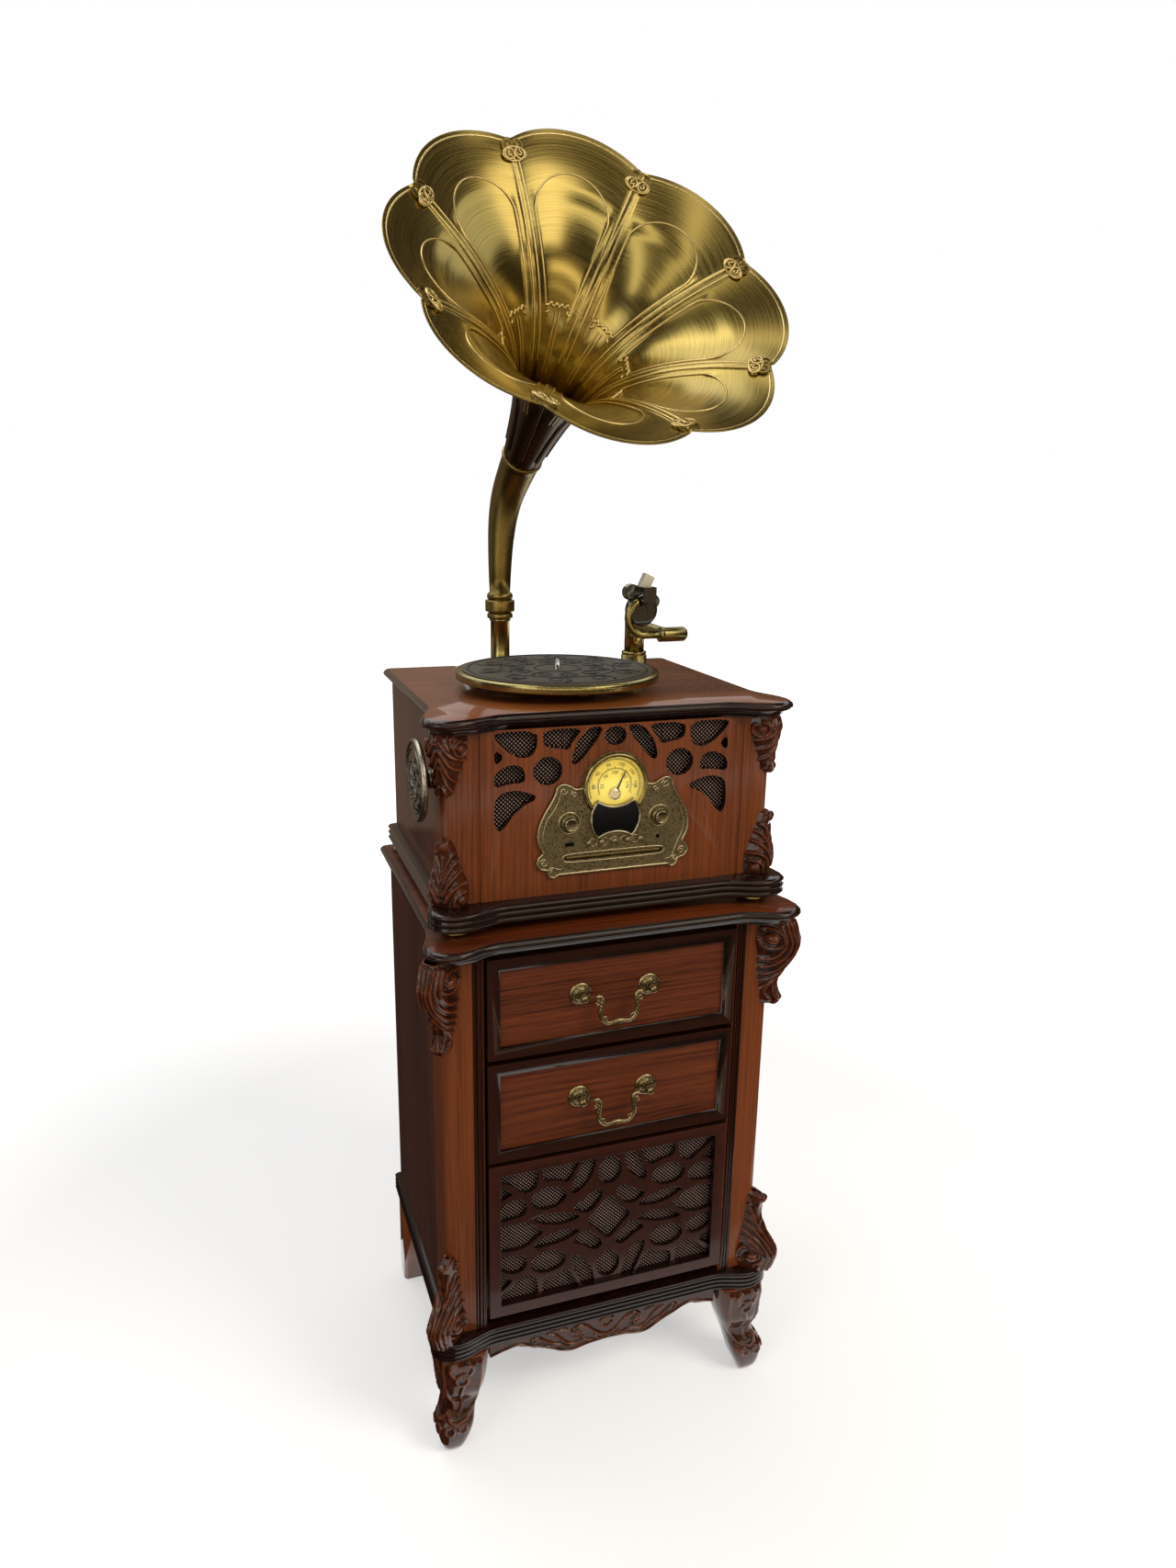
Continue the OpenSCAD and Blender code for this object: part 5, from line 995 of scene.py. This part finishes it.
def handle(level_name, middle_z, drawer_body, bail_body):
    """One drawer's two roses and the bail that hangs between them."""
    bm = bmesh.new()
    for side in (-1, 1):
        verts = relief(bm, rose_shape(side, middle_z), 120, 26, rose_relief)
        bmesh.ops.remove_doubles(bm, verts=verts, dist=0.00003)
    bmesh.ops.recalc_face_normals(bm, faces=bm.faces)
    thicken(keep(bm, level_name + "_rose_faces", antique_brass, drawer_body, smooth_angle=60), 0.6)
    refine(level_name + "_roses", antique_brass, smooth_angle=50)
    half = curve_through(BAIL_HALF, 6)
    lines = []
    for side in (-1, 1):
        lines.append(([(place(side * x, BAIL_Y, middle_z + z),
                        2.2 + 1.3 * math.sin(math.pi * i / (len(half) - 1)) ** 2 + 0.5 * math.cos(i * 1.05) ** 2)
                       for i, (x, z) in enumerate(half)], False))
        for x, z, size, start, turns in ((21.5, -36.5, 5.0, 0.4, 6.5), (33.5, -9.5, 4.4, 1.6, 6.0)):
            points = curl(x, z, size, start, turns, side)[::2]
            lines.append(([(place(px, BAIL_Y - 1, middle_z + pz), 1.5 - 0.02 * i)
                           for i, (px, pz) in enumerate(points)], False))
    lines.append(([(place(0.25 * i - 11, BAIL_Y, middle_z - 42.0),
                    2.4 + 1.9 * math.exp(-((0.25 * i - 11) / 7.5) ** 2) + 0.45 * math.cos(i * 0.9))
                   for i in range(89)], False))
    tube(level_name + "_bail_carving", lines, antique_brass, bail_body)
    refine(level_name + "_bail", antique_brass, smooth_angle=50)


handle("upper", 727.62, "top_drawer", "top_bail")
handle("lower", 564.21, "bottom_drawer", "bottom_bail")


# Side medallion: a wheel with three raised rings and a double ring of leaves
WHEEL_FACE_X, WHEEL_Y, WHEEL_Z, WHEEL_R = -269.2, -165, 1042, 46


def medallion_shape(uv):
    turn, away = math.pi * uv[:, 0], WHEEL_R * (1 - uv[:, 1]) / 2
    out = np.interp(away, [0, 8, 14, 40, WHEEL_R], [1.8, 2.6, 0.8, 0.6, 0.2])
    spot = np.stack([WHEEL_FACE_X - out, WHEEL_Y + away * np.cos(turn), WHEEL_Z - away * np.sin(turn)], axis=1)
    return spot, np.stack([turn, away], axis=1)


def medallion_relief(drawn):
    turn, away = drawn[:, 0], drawn[:, 1]
    leaves = np.abs(np.cos(turn * 6)) ** 0.6 * np.exp(-((away - 18) / 9.0) ** 4)
    tips = np.abs(np.sin(turn * 6)) ** 0.8 * np.exp(-((away - 34) / 6.0) ** 4)
    vein = np.exp(-(np.abs(np.sin(turn * 6)) / 0.12) ** 2) * np.exp(-((away - 18) / 9.0) ** 4)
    ring = np.exp(-((away - 27) / 1.2) ** 2) + np.exp(-((away - 43) / 1.3) ** 2) + np.exp(-((away - 8) / 1.2) ** 2)
    return 2.6 * leaves - 1.6 * vein + 2.4 * tips + 1.8 * ring


def medallion():
    bm = bmesh.new()
    relief(bm, medallion_shape, 180, 60, medallion_relief)
    bmesh.ops.remove_doubles(bm, verts=bm.verts, dist=0.00003)
    bmesh.ops.recalc_face_normals(bm, faces=bm.faces)
    thicken(keep(bm, "wheel_face", silvered_bronze, "wheel", smooth_angle=60), 0.8)
    refine("side_wheel", silvered_bronze, smooth_angle=30)


medallion()


# Platter mat
PLATTER_X, PLATTER_Y, MAT_TOP_Z = -29.3, -36.3, 1162.6


def on_mat(away, a):
    """A point of the mat's top, by its distance in mm and its angle about the spindle."""
    return place(PLATTER_X + away * math.cos(a), PLATTER_Y + away * math.sin(a), MAT_TOP_Z)


def mat_scrolls():
    """Scrolls and rings raised on the platter mat, darker than the mat."""
    lines = []
    for k in range(10):
        for middle, size, flip in ((104, 20, 1), (62, 17, -1)):
            points = []
            for i in range(40):
                t = i / 39
                reach, turn = size * (1 - 0.75 * t), flip * (0.5 + 8.0 * t)
                away = middle + reach * math.cos(turn)
                a = math.pi / 5 * k + (0.31 if flip < 0 else 0) + reach * math.sin(turn) / middle
                points.append((on_mat(away, a), 2.2 - 0.8 * t))
            lines.append((points, False))
    for away in (34, 84, 132):
        lines.append(([(on_mat(away, 2 * math.pi * i / 120), 1.7) for i in range(120)], True))
    tube("mat_scrolls", lines, mat_print, "turntable")


mat_scrolls()
refine("platter_mat", mat_rubber)


# Floor, light and background
def flat_sheet(name, size, turned, material):
    """A flat square that belongs to the studio, not to the object."""
    bm = bmesh.new()
    bmesh.ops.create_grid(bm, x_segments=1, y_segments=1, size=size)
    bmesh.ops.transform(bm, matrix=turned, verts=bm.verts)
    mesh = bpy.data.meshes.new(name)
    bm.to_mesh(mesh)
    bm.free()
    mesh.materials.append(material)
    return in_scene(name, mesh)


def seen_directly(tree):
    """1 for what the camera sees itself or in a reflection, with the node that tells the rays apart."""
    ray = add(tree, "LightPath")
    seen = add(tree, "Math", {}, {0: ray.outputs["Is Camera Ray"], 1: ray.outputs["Is Glossy Ray"]},
               operation="MAXIMUM")
    return ray, seen


def white_floor():
    """A pale floor that keeps the object's shadow and turns white further out."""
    material, tree, shader = begin("pale_studio_floor", Roughness=0.9, Specular_IOR_Level=0.0,
                                   Base_Color=colour("#ffffff"))
    seen = seen_directly(tree)[1]
    spot = add(tree, "VectorMath", {}, {0: add(tree, "NewGeometry").outputs["Position"]}, operation="LENGTH")
    whiter = add(tree, "MapRange", {"From Min": 1.1, "From Max": 2.6, "To Min": 0.42, "To Max": 1.0},
                 {"Value": spot.outputs["Value"]})
    power = add(tree, "Math", {}, {0: seen.outputs[0], 1: whiter.outputs[0]}, operation="MULTIPLY")
    glow = add(tree, "Emission", {"Color": (1, 1, 1, 1)}, {"Strength": power.outputs[0]})
    total = add(tree, "AddShader", {}, {0: shader.outputs[0], 1: glow.outputs[0]})
    tree.links.new(total.outputs[0], tree.nodes["Material Output"].inputs["Surface"])
    floor = flat_sheet("floor", 30, Matrix.Identity(4), material)


def lamp(name, at, aim, size, power, tint="#ffffff", mirrored=True):
    """A softbox, left out of reflections where a weaker card stands in its place."""
    light = bpy.data.lights.new(name, "AREA")
    light.shape = "RECTANGLE"
    light.size, light.size_y = size
    light.energy = power
    light.color = colour(tint)[:3]
    holder = in_scene(name, light)
    holder.location = at
    holder.visible_glossy = mirrored
    holder.rotation_euler = (Vector(aim) - Vector(at)).to_track_quat("-Z", "Y").to_euler()


def card(name, at, aim, size, code, strength=1.0):
    """A studio card that only reflections see, so that gloss and metal keep their depth."""
    turn = (Vector(aim) - Vector(at)).to_track_quat("-Z", "Y").to_matrix().to_4x4()
    material = begin(name + "_cloth", Roughness=1.0, Base_Color=(0, 0, 0, 1), Specular_IOR_Level=0.0,
                     Emission_Color=colour(code), Emission_Strength=strength)[0]
    held = flat_sheet(name, 0.5, Matrix.Translation(at) @ turn @ Matrix.Diagonal((size[0], size[1], 1, 1)), material)
    held.visible_camera = held.visible_diffuse = held.visible_shadow = held.visible_transmission = False


white_floor()
card("front_card", (-0.5, -3.8, 2.0), (-0.5, 0, 2.0), (8.2, 5.2), "#2e2922")
card("key_card", (2.0, -2.6, 3.2), (0, 0, 0.9), (1.7, 1.7), "#fff4e4", 2.8)
card("front_strip_card", (-0.3, -2.7, 3.4), (0, 0, 1.5), (3.0, 0.35), "#fff9f0", 2.6)
card("right_floor_card", (1.9, 0.0, 0.02), (1.9, 0.0, 1.0), (2.2, 2.0), "#3a2d20")
card("front_glow", (-0.4, -3.75, 1.15), (-0.4, 0, 1.15), (6.8, 2.2), "#a8916a")
card("front_band_high", (-0.4, -3.7, 1.85), (-0.4, 0, 1.85), (6.4, 0.3), "#fff1d6", 2.6)
card("front_band_low", (-0.4, -3.7, 1.15), (-0.4, 0, 1.15), (6.4, 0.16), "#fff1d6", 1.8)
card("left_card", (-3.4, -0.6, 1.4), (0, 0, 1.2), (4.6, 3.4), "#3d3838")
card("right_card", (3.4, -0.9, 1.4), (0, -0.9, 1.4), (6.6, 3.4), "#383129")
card("back_left_card", (-1.4, 2.6, 0.9), (-0.3, 0.2, 0.9), (4.4, 3.0), "#7a6b5d")
card("back_right_card", (2.2, 2.8, 1.0), (0.6, 0.2, 1.1), (3.6, 3.2), "#4a3a2c")
card("side_floor_card", (-1.76, -0.1, 0.02), (-1.76, -0.1, 1.0), (3.0, 1.1), "#2a2522")
card("back_floor_card", (-1.2, 2.0, 0.02), (-1.2, 2.0, 1.0), (4.0, 3.4), "#2a2522")
card("floor_card", (0.0, -1.9, 0.02), (0, -1.9, 1.0), (5.0, 2.9), "#4a3b2a")
card("ceiling_card", (0.0, -0.4, 4.1), (0, -0.4, 0), (6.5, 5.5), "#4a4238")
card("ceiling_strip_front", (0.0, -1.5, 4.0), (0, 0, 1.2), (3.4, 0.3), "#fff6e6", 2.2)
card("ceiling_strip_back", (0.0, 0.1, 4.0), (0, 0, 1.2), (3.4, 0.3), "#fff6e6", 2.0)
lamp("key_softbox", (2.0, -2.6, 3.2), (0, 0, 0.9), (1.7, 1.7), 62, "#fff4e4", False)
lamp("fill_softbox", (-2.8, -2.0, 2.0), (0, 0, 1.0), (1.4, 2.2), 16, "#fff8ee")
lamp("front_strip", (-0.3, -2.7, 3.4), (0, 0, 1.5), (3.0, 0.35), 12, "#fff9f0", False)
lamp("top_softbox", (-0.6, 0.9, 3.6), (0, 0, 1.2), (2.0, 2.0), 22)

world = bpy.data.worlds.new("white_room")
world.use_nodes = True
bpy.context.scene.world = world
sky = world.node_tree
ray, seen = seen_directly(sky)
clear = add(sky, "Math", {}, {0: seen.outputs[0], 1: ray.outputs["Is Transmission Ray"]}, operation="MAXIMUM")
strength = add(sky, "MapRange", {"To Min": 0.26, "To Max": 1.0}, {"Value": clear.outputs[0]})
sky.nodes["Background"].inputs["Color"].default_value = (1, 1, 1, 1)
sky.links.new(strength.outputs[0], sky.nodes["Background"].inputs["Strength"])
